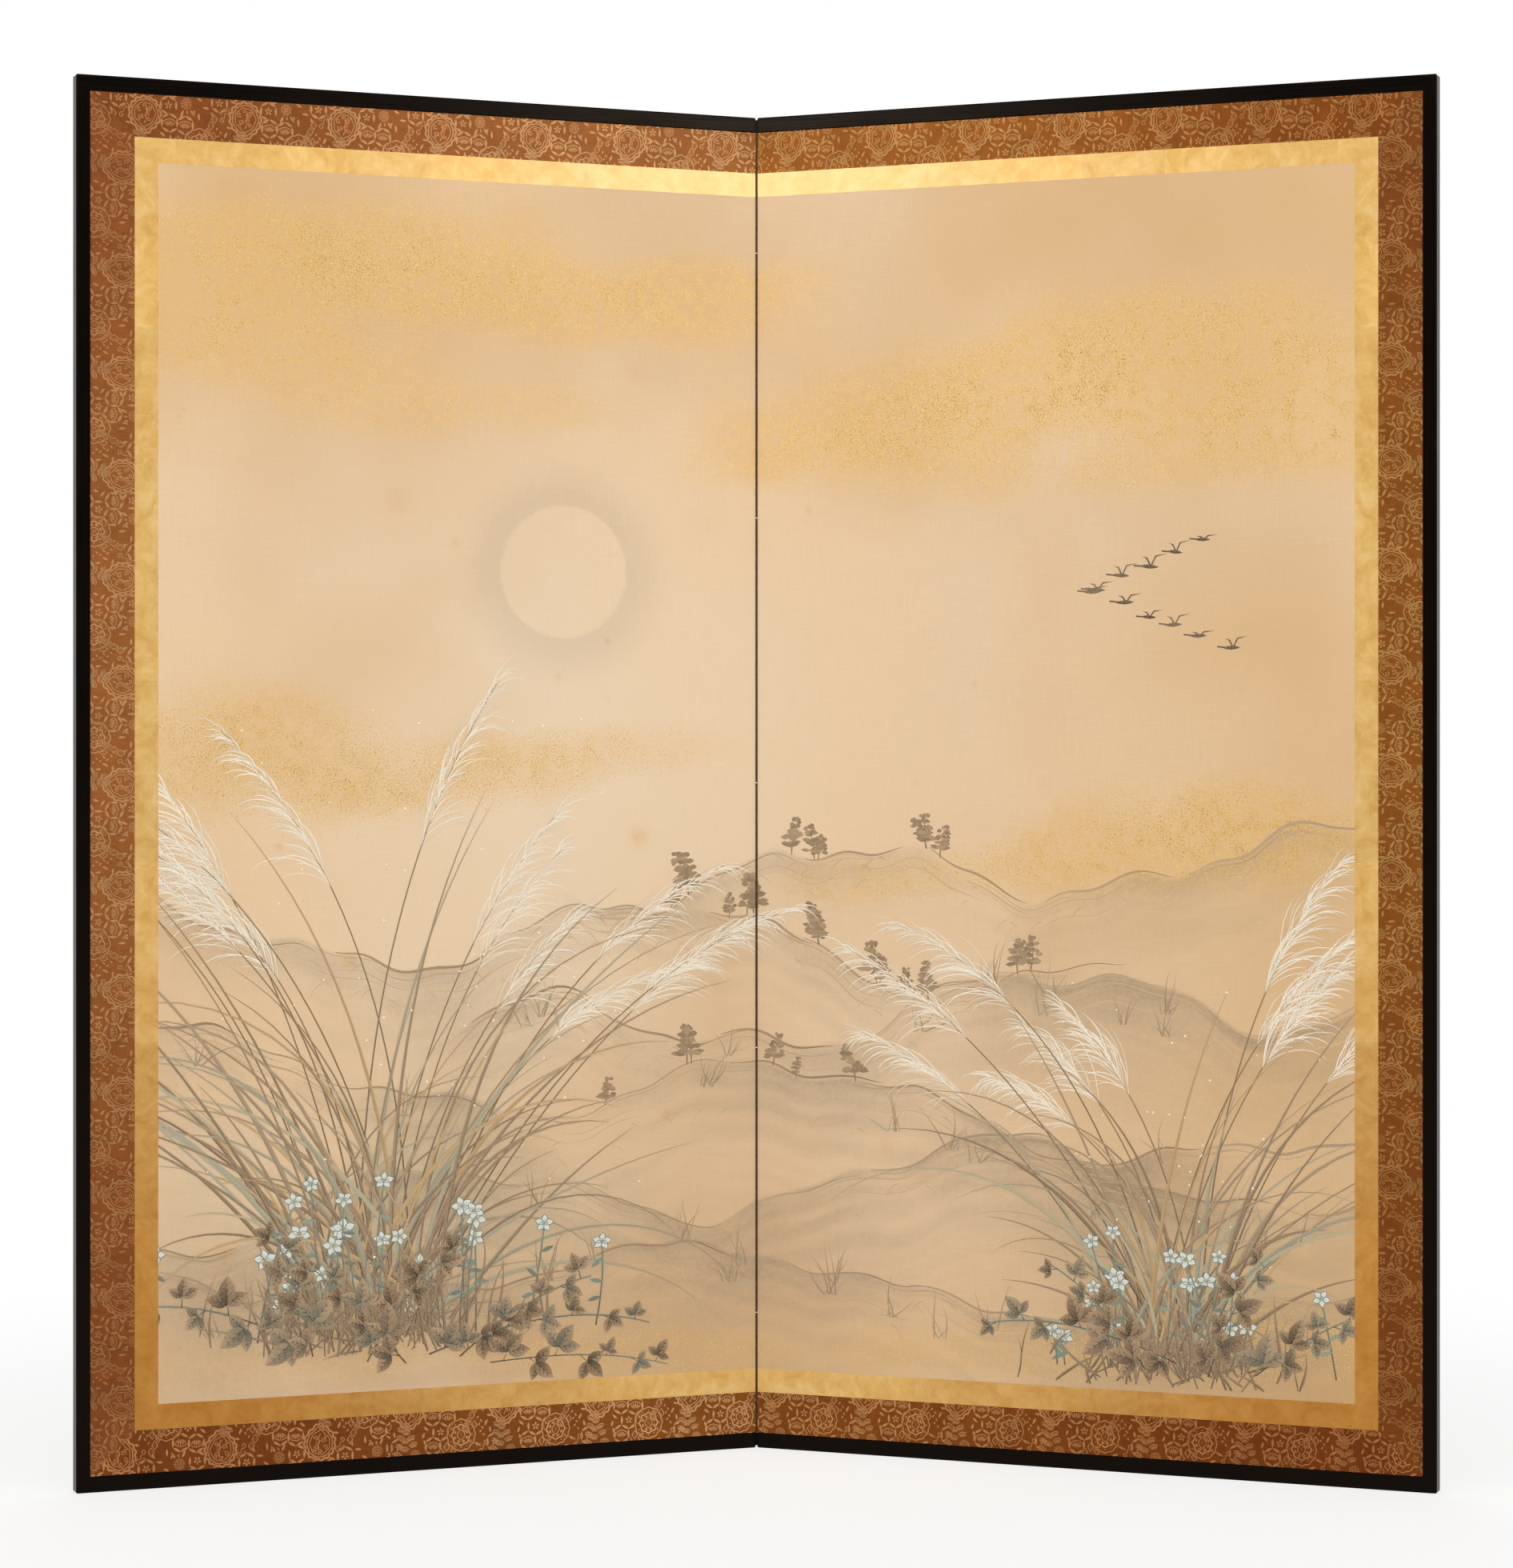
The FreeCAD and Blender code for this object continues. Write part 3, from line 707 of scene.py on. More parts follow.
# each length of cloth: where its medallion's middle lies, which way s and t run, and its limits in u
clothPieces = {
    "left_top": [((299.7, 1677.3), (-1, 0), (0, -1), 157.0, 900.0), ((171.3, 1681.0), (-1, 0), (0, -1), 0.0, 157.0)],
    "left_bottom": [((466.0, 76.0), (-1, 0), (0, -1), 0.0, 490.5), ((581.0, 42.0), (1, 0), (0, 1), 490.5, 900.0)],
    "left_side": [((828.0, 1359.0), (0, -1), (1, 0), 0.0, 900.0)],
    "right_top": [((671.6, 1685.6), (1, 0), (0, -1), 0.0, 900.0)],
    "right_bottom": [((274.5, 78.0), (1, 0), (0, -1), 0.0, 900.0)],
    "right_side": [((829.0, 1001.0), (0, 1), (1, 0), 0.0, 900.0)],
}
# each strip's inner and outer edge, and which way is outwards
clothEdges = {
    "top": ("clothHigh", "railHigh", (0, 1)),
    "bottom": ("clothLow", "railLow", (0, -1)),
    "side": ("clothOuter", "railOuter", (1, 0)),
}


def clothLength(tile, piece, strip):
    (u0, z0), (su, sz), (tu, tz), low, high = piece
    step, reach = clothFigures["repeatMm"], clothFigures["reach"]
    laid = runTree(repeatTree, {"Tile": tile, "Columns": 2 * reach, "Rows": 1, "Across": step, "Up": step})
    # tile (s, 0, t) to panel (u, 0, z)
    laid.transform(Matrix(((su, 0, tu, u0 - su * step * reach), (0, 1, 0, 0), (sz, 0, tz, z0 - sz * step * reach),
                           (0, 0, 0, 1))))
    inner, outer, (du, dz) = clothEdges[strip]
    cuts = [((screen[inner],) * 2, (-du, -dz)), ((screen[outer],) * 2, (du, dz))]
    across = screen["railOuter"] - screen["clothOuter"]
    rise = screen["railHigh"] - screen["clothHigh"]
    keep = 1 if strip == "side" else -1
    for corner, other, up in (("railHigh", "bottom", 1), ("railLow", "top", -1)):
        if strip != other:  # the mitre at this corner
            cuts.append(((screen["railOuter"], screen[corner]), (-keep * rise, up * keep * across)))
    return trimmed(laid, cuts + [((max(low, screen["foldEdge"]), 0), (-1, 0)), ((high, 0), (1, 0))])


for side in sides:
    for label, tile, kind, lift in (("figures", threadTile, "raised_silk_thread", 1),
                                    ("accents", accentTile, "orange_silk_thread",
                                     clothFigures["accentShare"])):
        lengths = []
        for index, strip in enumerate(strips):
            for piece in clothPieces["%s_%s" % (side, strip)]:
                length = clothLength(tile, piece, strip)
                length.polygons.foreach_set("material_index", [index] * len(length.polygons))
                lengths.append(length)
        mesh = joined(lengths, side, screen["clothFront"] - clothFigures["lift"] * lift,
                      "brocade_%s_%s" % (label, side))
        mount("%s_brocade_%s" % (side, label), mesh, "brocade", *("%s_%s_%s" % (kind, side, s) for s in strips))


# A plain autumn field under gold-dust mist: low hills in washes, tall grass with pale plumes, bellflowers.
# x is measured across both panels from the fold, left negative, z up, in millimetres.
picture = {
    "stepMm": 4.0,
    "thickness": 0.3,
    "spread": 1.2,  # how much taller the drifts of dust are than their list says
    "clouds": [  # middle x and z, half length, half height, tilt in degrees, strength
        (-590, 1505, 330, 66, 4, 1.0), (-250, 1470, 300, 48, -3, 0.85), (-60, 1500, 190, 34, 4, 0.6),
        (-640, 1395, 190, 44, -4, 0.8), (-420, 1330, 260, 34, 3, 0.55),
        (250, 1330, 330, 62, 7, 0.95), (520, 1395, 300, 76, 5, 1.0), (700, 1310, 200, 62, -4, 0.9),
        (90, 1275, 190, 34, 6, 0.55), (440, 1250, 260, 34, 3, 0.6),
        (-690, 905, 200, 64, 3, 0.8), (-480, 860, 260, 46, 5, 0.75), (-230, 895, 210, 34, 4, 0.5),
        (640, 800, 230, 58, -3, 0.9), (400, 760, 240, 38, 5, 0.7), (150, 735, 190, 28, 2, 0.45),
        (-560, 150, 300, 34, 2, 0.5), (-180, 135, 260, 26, -2, 0.4), (300, 140, 320, 32, 2, 0.5),
        (650, 170, 220, 42, 4, 0.6),
    ],
    "hills": [  # level, slope, (height, length, shift) of its swells, ink, depth of the wash, from x to x
        (742, 0.03, ((34, 620, 0.4), (13, 251, 2.0), (5, 97, 0.0)), 0.2, 70, -260, 820),
        (655, -0.05, ((46, 760, 2.6), (12, 310, 0.7), (4, 88, 1.0)), 0.25, 85, -820, 420),
        (560, 0.06, ((40, 690, 4.4), (15, 270, 1.7), (5, 120, 2.2)), 0.3, 95, -420, 820),
        (462, -0.07, ((38, 820, 1.1), (14, 330, 3.1), (4, 104, 0.6)), 0.35, 100, -820, 640),
        (352, 0.04, ((44, 740, 5.2), (12, 290, 0.2), (5, 133, 1.4)), 0.35, 105, -820, 820),
        (232, -0.03, ((30, 900, 2.2), (10, 350, 4.0), (4, 110, 0.0)), 0.27, 90, -820, 820),
    ],
    # dark ground under the clumps: middle x and z, half length, half height, strength
    "shade": ((-505, 205, 150, 42, 0.5), (-560, 250, 90, 60, 0.3), (610, 160, 120, 34, 0.42)),
    "moon": (-262, 1128, 84),
    "spots": 46,
    "spotSeed": 11,
    "spotSizes": (3.0, 4.5, 6.0, 9.0, 13.0),
}


def hillTop(hill, x):
    level, slope, swells = hill[:3]
    return level + slope * x + sum(h * np.sin(tau * x / length + shift) for h, length, shift in swells)


def smooth(low, high, value):
    t = np.clip((value - low) / (high - low), 0, 1)
    return t * t * (3 - 2 * t)


def cloudNoise(x, z, size, seed, octaves=4):
    return np.array([noise.fractal(Vector((a / size, b / size, seed)), 1.0, 2.0, octaves) for a, b in zip(x, z)])


def blob(x, z, cx, cz, rx, rz):
    return ((x - cx) / rx) ** 2 + ((z - cz) / rz) ** 2


def pictureFields(x, z):
    ragged = cloudNoise(x, z, 120, 3.7)
    fine = cloudNoise(x, z, 17, 9.1, 3)
    haze = np.zeros(len(x))
    for cx, cz, rx, rz, tilt, strength in picture["clouds"]:
        c, s = cos(radians(tilt)), sin(radians(tilt))
        a, b = (x - cx) * c + (z - cz) * s, (z - cz) * c - (x - cx) * s
        far = (a / rx) ** 2 + (b / rz / picture["spread"]) ** 2
        haze = 1 - (1 - haze) * (1 - strength * np.exp(-np.maximum(far + 0.75 * ragged + 0.25 * fine, 0) ** 1.3))
    haze = smooth(0.1, 0.95, haze)
    wash = np.zeros(len(x))
    patch = cloudNoise(x, z, 190, 5.5, 3)
    for hill in picture["hills"]:
        ink, fall, start, end = hill[3:]
        depth = hillTop(hill, x) - z
        shown = smooth(start - 60, start + 120, x) * (1 - smooth(end - 120, end + 60, x))
        soft = smooth(-1.5, 4.5, depth) * np.exp(-np.maximum(depth, 0) / fall)
        streaks = cloudNoise(x, depth * 14, 230, start * 0.01, 3)  # the brush was drawn along the ridge
        wash = 1 - (1 - wash * (1 - 0.55 * smooth(0, 14, depth))) * (
            1 - ink * shown * soft * np.clip(0.95 + 1.0 * patch + 0.7 * streaks, 0.1, 1.9))
    for *place, strength in picture["shade"]:
        wash = 1 - (1 - wash) * (1 - strength * np.exp(-np.maximum(blob(x, z, *place) + 0.8 * ragged, 0)))
    mx, mz, mr = picture["moon"]
    away = np.hypot(x - mx, z - mz)
    glow = smooth(mr * 1.9, mr * 1.02, away) * smooth(mr * 0.98, mr * 1.02, away) * 0.16
    wash = 1 - (1 - wash) * (1 - glow)
    # random toning by age, with painted shade: darker towards the bottom, the top, the upper left and the right
    # panel's outer edge
    upper = smooth(1150, 1560, z)
    ageAndPaintedLight = 0.42 * smooth(420, 90, z) + 0.36 * upper + 0.2 * smooth(-250, -760, x) * upper
    ageAndPaintedLight += 0.42 * smooth(250, 780, x) + 0.4 * cloudNoise(x, z, 330, 8.3, 3)
    tint = sum(most * np.exp(-blob(x, z, *place)) * np.clip(0.6 + ragged, 0, 1)
               for *place, most in ((-520, 330, 210, 120, 0.35), (600, 250, 160, 90, 0.3)))
    fox = np.zeros(len(x))
    chance = random.Random(picture["spotSeed"])
    for i in range(picture["spots"]):
        cx = chance.uniform(-775, 775) if i % 3 else chance.uniform(-775, -520)
        cz, size = chance.uniform(120, 1600), chance.choice(picture["spotSizes"])
        fox = np.maximum(fox, chance.uniform(0.25, 0.75) * np.exp(-(((x - cx) ** 2 + (z - cz) ** 2) / size ** 2)))
    # pale is a painted pool of light in the middle of the left panel
    return {"haze": haze, "ageAndPaintedLight": np.clip(ageAndPaintedLight, 0, 1), "pale": 0.7 * np.exp(-blob(x, z, -260, 850, 430, 430)),
            "wash": wash, "tint": tint, "fox": fox,
            "dust": haze ** 1.1 * np.clip(0.8 + 1.5 * fine + 1.2 * ragged, 0.04, 2.5)}


def makeSilkSheets(side):
    # the painted silk as a flat sheet, for the dust to fall on, and closed with its edges and back, on its panel
    lines = [np.linspace(low, high, round((high - low) / picture["stepMm"]) + 1) for low, high in (
        (screen["foldEdge"], screen["pictureOuter"]), (screen["pictureLow"], screen["pictureHigh"]))]
    u, z = (part.ravel() for part in np.meshgrid(*lines))
    grid = np.arange(len(u)).reshape(len(lines[1]), -1)
    front = np.stack((grid[:-1, :-1], grid[:-1, 1:], grid[1:, 1:], grid[1:, :-1]), 2).reshape(-1, 4).tolist()
    flat = newMesh("painted_silk_" + side, [(a, 0.0, b) for a, b in zip(u, z)], front)
    # once round the sheet; the back's corners follow the front's in the same order
    border = np.concatenate((grid[0, :-1], grid[:-1, -1], grid[-1, :0:-1], grid[:0:-1, 0])).tolist()
    back = [len(u) + i for i in range(len(border))]
    edges = [[border[i], border[i - 1], back[i - 1], back[i]] for i in range(len(border))]
    near, far = screen["silkFront"], screen["silkFront"] + picture["thickness"]
    places = [(a, near, b) for a, b in zip(u, z)] + [(u[i], far, z[i]) for i in border]
    closed = newMesh("painted_silk_sheet_" + side, places, front + edges + [back[::-1]])
    for label, values in pictureFields(u * sides[side], z).items():
        for mesh, carried in ((flat, values), (closed, np.append(values, values[border]))):
            mesh.attributes.new(label, "FLOAT", "POINT").data.foreach_set("value", carried.astype(np.float32))
    closed.transform(panelMatrix(side))
    if sides[side] < 0:  # mirroring turned it inside out
        closed.flip_normals()
    return flat, closed


dustLook = {
    "perSquareMm": 0.5,
    "smallest": 0.7,
    "largest": 1.9,
    "lift": 0.05,
    "seeds": {"left": 5, "right": 8},
    "tones": ("#E6B45C", "#F0C672", "#F8DA99"),
}


def makeDustTree():
    # gold dust shaken on through a screen: flakes scattered by the sheet's haze
    tree, node, given = startTree("scatter_gold_dust", {"Geometry": "Geometry", "Seed": "Int"})
    thickness = node("GeometryNodeInputNamedAttribute", {"Name": "dust"}, data_type="FLOAT")
    density = node("Math", {0: thickness, 1: dustLook["perSquareMm"]}, operation="MULTIPLY")
    points = node("GeometryNodeDistributePointsOnFaces", {
        "Mesh": given["Geometry"], "Density": density, "Seed": given["Seed"]})
    flake = node("GeometryNodeMeshCircle", {"Vertices": 4, "Radius": 0.5}, fill_type="NGON")
    upright = node("GeometryNodeTransform", {"Geometry": flake, "Rotation": (pi / 2, 0, 0)})
    spin = node("FunctionNodeRandomValue", {"Max": (0.0, tau, 0.0), "Seed": given["Seed"]}, data_type="FLOAT_VECTOR")
    size = node("FunctionNodeRandomValue", {
        2: dustLook["smallest"], 3: dustLook["largest"], "Seed": given["Seed"]}, data_type="FLOAT")
    flakes = node("GeometryNodeInstanceOnPoints", {
        "Points": points, "Instance": upright, "Rotation": spin, "Scale": size})
    real = node("GeometryNodeRealizeInstances", {"Geometry": flakes})
    node("NodeGroupOutput", {"Geometry": real})
    return tree


def makeDustFinish(side):
    # specks of beaten gold, some bright and some rubbed
    node = startMaterial("gold_dust_" + side, {"Metallic": 0.4, "Roughness": 0.5})
    tone = node("TexNoise", {"Vector": panelPlace(node, side), "Scale": 0.7, "Detail": 2.0})
    node("ValToRGB", {"Fac": tone}, list(zip((0.3, 0.5, 0.72), dustLook["tones"])), "Base Color")


dustTree = makeDustTree()
silkCuts = boxCuts("pictureOuter", "pictureLow", "pictureHigh")
for side in sides:
    makeDustFinish(side)
    makeSilk(side)
    flat, sheet = makeSilkSheets(side)
    dust = runTree(dustTree, {"Seed": dustLook["seeds"][side]}, flat)
    specks = joined([trimmed(dust, silkCuts)], side, screen["silkFront"] - dustLook["lift"], "gold_dust_" + side)
    mount(side + "_gold_dust", specks, "gold_leaf", "gold_dust_" + side)
    piece = mount(side + "_painted_silk", sheet, "painted_silk", "painted_silk_" + side)
    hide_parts(side + "_silk_picture")


strokeLift = {"lowest": 0.07, "highest": 0.7, "cell": 4.0}  # mm off the silk, and the grid that tells what crosses


class Strokes(Figures):
    # gathers brush strokes in (x, z) over both panels, each with its colours and just over the strokes it crosses
    def __init__(self):
        super().__init__()
        self.colours = []
        self.levels = {}

    def add(self, shape, colours):
        verts, faces = shape
        crossed = set()
        for face in faces:
            for i, j in zip(face, face[1:] + face[:1]):
                ax, az, bx, bz = (value / strokeLift["cell"] for value in (*verts[i], *verts[j]))
                steps = int(2 * max(abs(bx - ax), abs(bz - az))) + 1
                crossed.update((floor(ax + (bx - ax) * k / steps), floor(az + (bz - az) * k / steps))
                               for k in range(steps))
        level = 1 + max(self.levels.get(place, 0) for place in crossed)
        self.levels.update(dict.fromkeys(crossed, level))
        super().add(([(x, level, z) for x, z in verts], faces))
        self.colours += colours if isinstance(colours[0], list) else [colours] * len(verts)

    def brush(self, points, width, first, last=None, taper=None):
        # colour runs from first to last along the stroke
        ramp = []
        for i in range(len(points)):
            ramp += [mixTones(first, last or first, i / (len(points) - 1))] * 2
        self.add(ribbon(points, width, False, taper), ramp)

    def mesh(self, name):
        low, high = strokeLift["lowest"], strokeLift["highest"]
        step = (high - low) / max(self.levels.values())
        print("strokes lie up to", max(self.levels.values()), "deep")
        made = newMesh(name, [(x, -low - step * level, z) for x, level, z in self.verts], self.faces)
        layer = made.attributes.new("paint", "FLOAT_COLOR", "POINT")
        layer.data.foreach_set("color", [c for colour in self.colours for c in colour])
        return made


brushLook = {
    "seed": 23,
    "inks": ("#37312A", "#4E463C", "#675D51", "#827767", "#9A8D7B"),
    "greens": ("#8FA092", "#7B9187", "#A5AD94"),
    "straws": ("#B99B6A", "#A88A5C"),
    "silk": "#DDBB92",
    "white": "#F7EFDD",
    "bell": "#DEE6DF",
    "bellLine": "#74867F",
    # below each ridge: how far, width, darkness and reach of its long strokes
    "ridges": ((0, 3.6, 1.0, 260), (5, 1.6, 0.7, 150), (11, 2.4, 0.5, 190), (20, 1.5, 0.36, 130),
               (31, 2.2, 0.26, 170)),
    "pines": ((0, 9), (1, 12), (3, 6)),  # on which hill, how many
    "tufts": 46,
    "seeds": 90,
    "clumps": ((560, 150, 66, 10, 0.78), (-505, 190, 92, 15, 1.0)),  # x, z, blades, plumes, scale
    "plumeHairs": 74,
    "vines": ((-600, 165, -1.1, 210), (-590, 150, -0.2, 170), (-520, 140, 0.5, 190), (-440, 145, 1.25, 300),
              (-400, 140, 0.9, 200), (-470, 135, -0.7, 180), (-360, 130, 1.5, 240), (560, 140, -1.2, 260),
              (520, 130, -0.6, 180), (600, 125, 0.3, 170), (660, 130, 0.9, 150)),  # x, z, angle, length
    "geese": (455, 1100, 11),  # the leader's place, and how many there are
}
inks, greens, straws = ([linear(c) for c in brushLook[name]] for name in ("inks", "greens", "straws"))
silkTone, white, bell, bellLine = (linear(brushLook[name]) for name in ("silk", "white", "bell", "bellLine"))
strokes = Strokes()
draw = random.Random(brushLook["seed"])
between, choose, spread = draw.uniform, draw.choice, draw.gauss


def mixTones(a, b, share):
    return [p * (1 - share) + q * share for p, q in zip(a, b)]


def paler(tone, share):
    return mixTones(tone, silkTone, share)


def swell(f):
    return max(0.05, sin(pi * min(1, 0.08 + 0.92 * f)) ** 0.7)


def leafWidth(f):
    return max(0.04, sin(pi * min(1.0, f) ** 0.8))


def bladeWidth(f):
    return max(0.03, (1 - f) ** 0.8 * min(1, 0.45 + 2.2 * f))


def arc(x, z, angle, length, bend, parts):
    # a line that starts upwards at angle from the vertical and leans over more towards its tip
    points = [(x, z)]
    for i in range(parts):
        lean = angle + bend * ((i + 0.5) / parts) ** 1.6
        x += length / parts * sin(lean)
        z += length / parts * cos(lean)
        points.append((x, z))
    return points


def drawHills():
    for hill in picture["hills"]:
        ink, fall, start, end = hill[3:]
        for down, width, dark, reach in brushLook["ridges"]:
            x = start + between(10, 60)
            while x < end - 40:
                length = between(0.45, 1.0) * reach
                steps = max(6, int(length / 9))
                offset, drift = between(-1.6, 1.6) - down, between(-0.04, 0.03)
                along = [x + length * i / steps for i in range(steps + 1)]
                points = [(a, float(hillTop(hill, a)) + offset + drift * (a - x) + 0.7 * sin(i * 0.9 + x))
                          for i, a in enumerate(along)]
                tone = mixTones(silkTone, inks[choose((1, 2, 3, 4))], dark * (0.45 + 0.9 * ink))
                strokes.brush(points, width * between(0.45, 1.1), paler(tone, 0.45), tone, swell)
                x += length * between(0.8, 1.3) * (between(1.0, 1.9) if down else 1.0)
        for i in range(int((end - start) / 16)):
            x = between(start + 40, end - 40)
            down = between(5, fall * 0.62)
            z = float(hillTop(hill, x)) - down
            hand = choose((-1, 1))
            points = [(x + hand * (3.4 * k), z - 0.55 * k * k) for k in range(choose((4, 5, 6, 7)))]
            tone = mixTones(silkTone, inks[3], between(0.22, 0.5) * (1.1 - down / fall))
            strokes.brush(points, between(0.8, 1.8), tone, paler(tone, 0.5), swell)


def drawPine(x, z, height, tone):
    # a far tree: a leaning trunk with flat, overlapping pads of needles
    trunk = arc(x, z - 2, between(-0.3, 0.3), height, between(-0.6, 0.6), 6)
    strokes.brush(trunk, height * 0.06, tone, taper=bladeWidth)
    for i in range(2, 7):
        px, pz = trunk[i]
        wide = height * (0.72 - 0.08 * i)
        for k in range(6):
            across, rise = between(-0.5, 0.5) * wide, between(-0.05, 0.07) * height
            pad = lens(px + across, pz + rise, wide * between(0.4, 0.8), height * between(0.1, 0.16),
                       between(-0.2, 0.2))
            strokes.add(pad, paler(tone, between(0, 0.4)))


def drawBlade(x, z, angle, length, bend, width, tone):
    points = arc(x, z, angle, length, bend, 16)
    strokes.brush(points, width, paler(tone, 0.32), paler(tone, 0.45), bladeWidth)
    hand = 1 if angle + bend > 0 else -1
    edge = [(px + hand * width * 0.3 * bladeWidth(i / 16), pz) for i, (px, pz) in enumerate(points)]
    strokes.brush(edge, max(0.9, width * 0.3), tone, paler(tone, 0.45), bladeWidth)


def drawPlume(x, z, angle, length, bend):
    stem = arc(x, z, angle, length, bend, 26)
    strokes.brush(stem, 2.3, inks[2], straws[1], lambda f: 1 - 0.45 * f)
    hand = 1 if angle + bend > 0 else -1
    for i in range(brushLook["plumeHairs"]):
        f = 0.7 + 0.3 * i / brushLook["plumeHairs"]
        (px, pz), (nx, nz) = stem[min(26, int(f * 26))], stem[min(26, int(f * 26) + 1)]
        share = f * 26 - int(f * 26)
        px, pz = px + (nx - px) * share, pz + (nz - pz) * share
        reach = between(34, 88) * (1.25 - 0.75 * (f - 0.7) / 0.3)
        start = angle + bend * f ** 1.6 + between(-0.55, 0.55)
        tone = choose((white, white, mixTones(white, straws[0], 0.3), paler(white, 0.35)))
        hair = arc(px, pz, start, reach, hand * between(0.7, 1.5), 7)
        strokes.brush(hair, between(0.9, 1.6), tone, taper=swell)


def drawBellflower(x, z, size):
    start, squash = between(0, tau), between(0.62, 0.95)
    petals = [(cos(start + a), squash * sin(start + a)) for a in turns(5)]
    shapes = [lens(x + size * 0.48 * ax, z + size * 0.48 * az, size, size * 0.62, atan2(az, ax)) for ax, az in petals]
    for shape in shapes:
        strokes.add(shape, bell)
    for (ax, az), (outline, _) in zip(petals, shapes):
        strokes.add(ribbon(outline, 0.8, True), bellLine)
        strokes.brush([(x, z), (x + size * 0.7 * ax, z + size * 0.7 * az)], 0.7, bellLine, bell)
    strokes.add(disc(x, z, size * 0.13, size * 0.13, 7), straws[0])


def drawClump(x, z, blades, plumes, scale):
    for i in range(plumes):
        lean = between(-0.42, 0.5) + (0.1 if x < 0 else -0.12)
        drawPlume(x + between(-60, 60) * scale, z + between(-10, 20), lean, between(560, 860) * scale,
                  copysign(between(0.5, 1.05), lean))
    for i in range(blades):
        lean = spread(0, 0.42)
        tone = choose(inks[:4] + inks[1:4] + greens + straws)
        drawBlade(x + spread(0, 42) * scale, z + between(-26, 12), lean, between(240, 700) * scale,
                  copysign(between(0.3, 1.9), lean + 0.001), between(3.4, 8.2) * (0.5 + 0.5 * scale), tone)
    for i in range(int(blades * 0.28)):
        fx, fz = x + spread(0, 125) * scale, z + between(10, 190) * scale
        stem = arc(fx + between(-24, 24), z - 20, between(-0.2, 0.2), fz - z + 20, between(-0.3, 0.3), 9)
        strokes.brush(stem, 1.9, inks[2], greens[1])
        for k in range(3, 9, 2):
            lx, lz = stem[k]
            strokes.add(lens(lx + choose((-1, 1)) * 8, lz, 19, 5.4, between(-0.7, 0.7)),
                        choose((greens[0], greens[1], mixTones(greens[1], inks[2], 0.4))))
        drawBellflower(stem[-1][0], stem[-1][1] + 4, between(11, 16) * (0.6 + 0.4 * scale))
    for i in range(int(blades * 1.5)):
        tone = choose((inks[0], inks[1], inks[1], inks[2]))
        drawBlade(x + spread(0, 95) * scale, z - between(5, 42), spread(0, 0.5), between(40, 150) * scale,
                  between(-1.0, 1.0), between(2.4, 5.0), tone)


def drawLeaf(x, z, size, heading, tone):
    # three broad leaflets, each of two wet strokes that pale towards the tip, with its veins put in last
    for aside, share in ((-1.25, 0.82), (1.25, 0.82), (0.0, 1.0)):
        length = size * share * between(0.85, 1.1)
        course = heading + aside + between(-0.2, 0.2)
        curl = between(-0.35, 0.35)
        mid = arc(x, z, pi / 2 - course, length, curl, 9)
        pale = paler(tone, between(0.35, 0.6))
        nx, nz = -sin(course), cos(course)
        for hand, dark in ((1, 0.0), (-1, between(0.1, 0.35))):
            out = [hand * length * 0.14 * leafWidth(i / 9) for i in range(len(mid))]
            bow = [(px + nx * o, pz + nz * o) for (px, pz), o in zip(mid, out)]
            strokes.brush(bow, length * 0.3, paler(tone, dark), paler(pale, dark), leafWidth)
        strokes.brush(mid, 1.3, inks[0], paler(tone, 0.3), bladeWidth)
        for i in (2, 4, 6):
            for hand in (-0.75, 0.75):
                a, reach = course - curl * (i / 9) ** 1.6 + hand, length * 0.26 * (1.15 - i / 9)
                strokes.brush([mid[i], around(*mid[i], a, reach)], 0.7, inks[0], tone)


def drawVine(x, z, angle, length):
    # a trailing stem with a leaf to either side by turns
    stem = arc(x, z, angle, length, copysign(between(0.2, 0.7), angle), 14)
    strokes.brush(stem, 1.6, inks[1], greens[1])
    for i in range(1, 15, 2):
        heading = pi / 2 - angle + (1 if i % 4 == 1 else -1) * between(0.6, 1.2)
        foot = around(*stem[i], heading, between(6, 14))
        strokes.brush([stem[i], foot], 1.1, inks[1], greens[1])
        tone = mixTones(inks[choose((0, 0, 1, 1, 2))], greens[1], choose((0.0, 0.0, 0.3)))
        drawLeaf(*foot, between(24, 38) * (1.1 - 0.03 * i), heading, tone)


def drawGeese(x, z, count):
    # a skein flying home, its two arms uneven
    for i in range(count):
        arm, place = (1, i // 2) if i % 2 else (-1, (i + 1) // 2)
        cx = x + place * 34 + between(-6, 6)
        cz = z + arm * place * 15 + between(-5, 5)
        size = between(17, 22)
        tone = mixTones(inks[1], silkTone, between(0.0, 0.25))
        strokes.add(lens(cx, cz, size * 1.2, size * 0.26, between(-0.12, 0.12)), tone)
        strokes.brush([(cx - size * 0.4, cz + size * 0.02), (cx - size * 0.95, cz + size * 0.08)], size * 0.1, tone)
        flap = between(0.25, 0.8)
        for hand, reach in ((1, 1.0), (-1, 0.8)):
            wing = [(cx + size * 0.1, cz),
                    (cx + size * (0.1 + 0.3 * hand * reach), cz + size * flap * reach * 0.8),
                    (cx + size * (0.25 + 0.85 * hand * reach), cz + size * flap * reach)]
            strokes.brush(wing, size * 0.2, tone, paler(tone, 0.2), bladeWidth)


def drawTufts():
    for i in range(brushLook["tufts"]):
        hill = picture["hills"][choose((2, 3, 4, 4, 5, 5))]
        x = between(hill[5] + 60, hill[6] - 60)
        z = float(hillTop(hill, x)) - between(8, 70)
        for k in range(choose((5, 7, 9))):
            tone = choose((inks[2], inks[3], greens[0], inks[1]))
            drawBlade(x + between(-9, 9), z, spread(0, 0.5), between(22, 66), between(-0.9, 0.9),
                      between(1.6, 2.8), mixTones(silkTone, tone, 0.75))


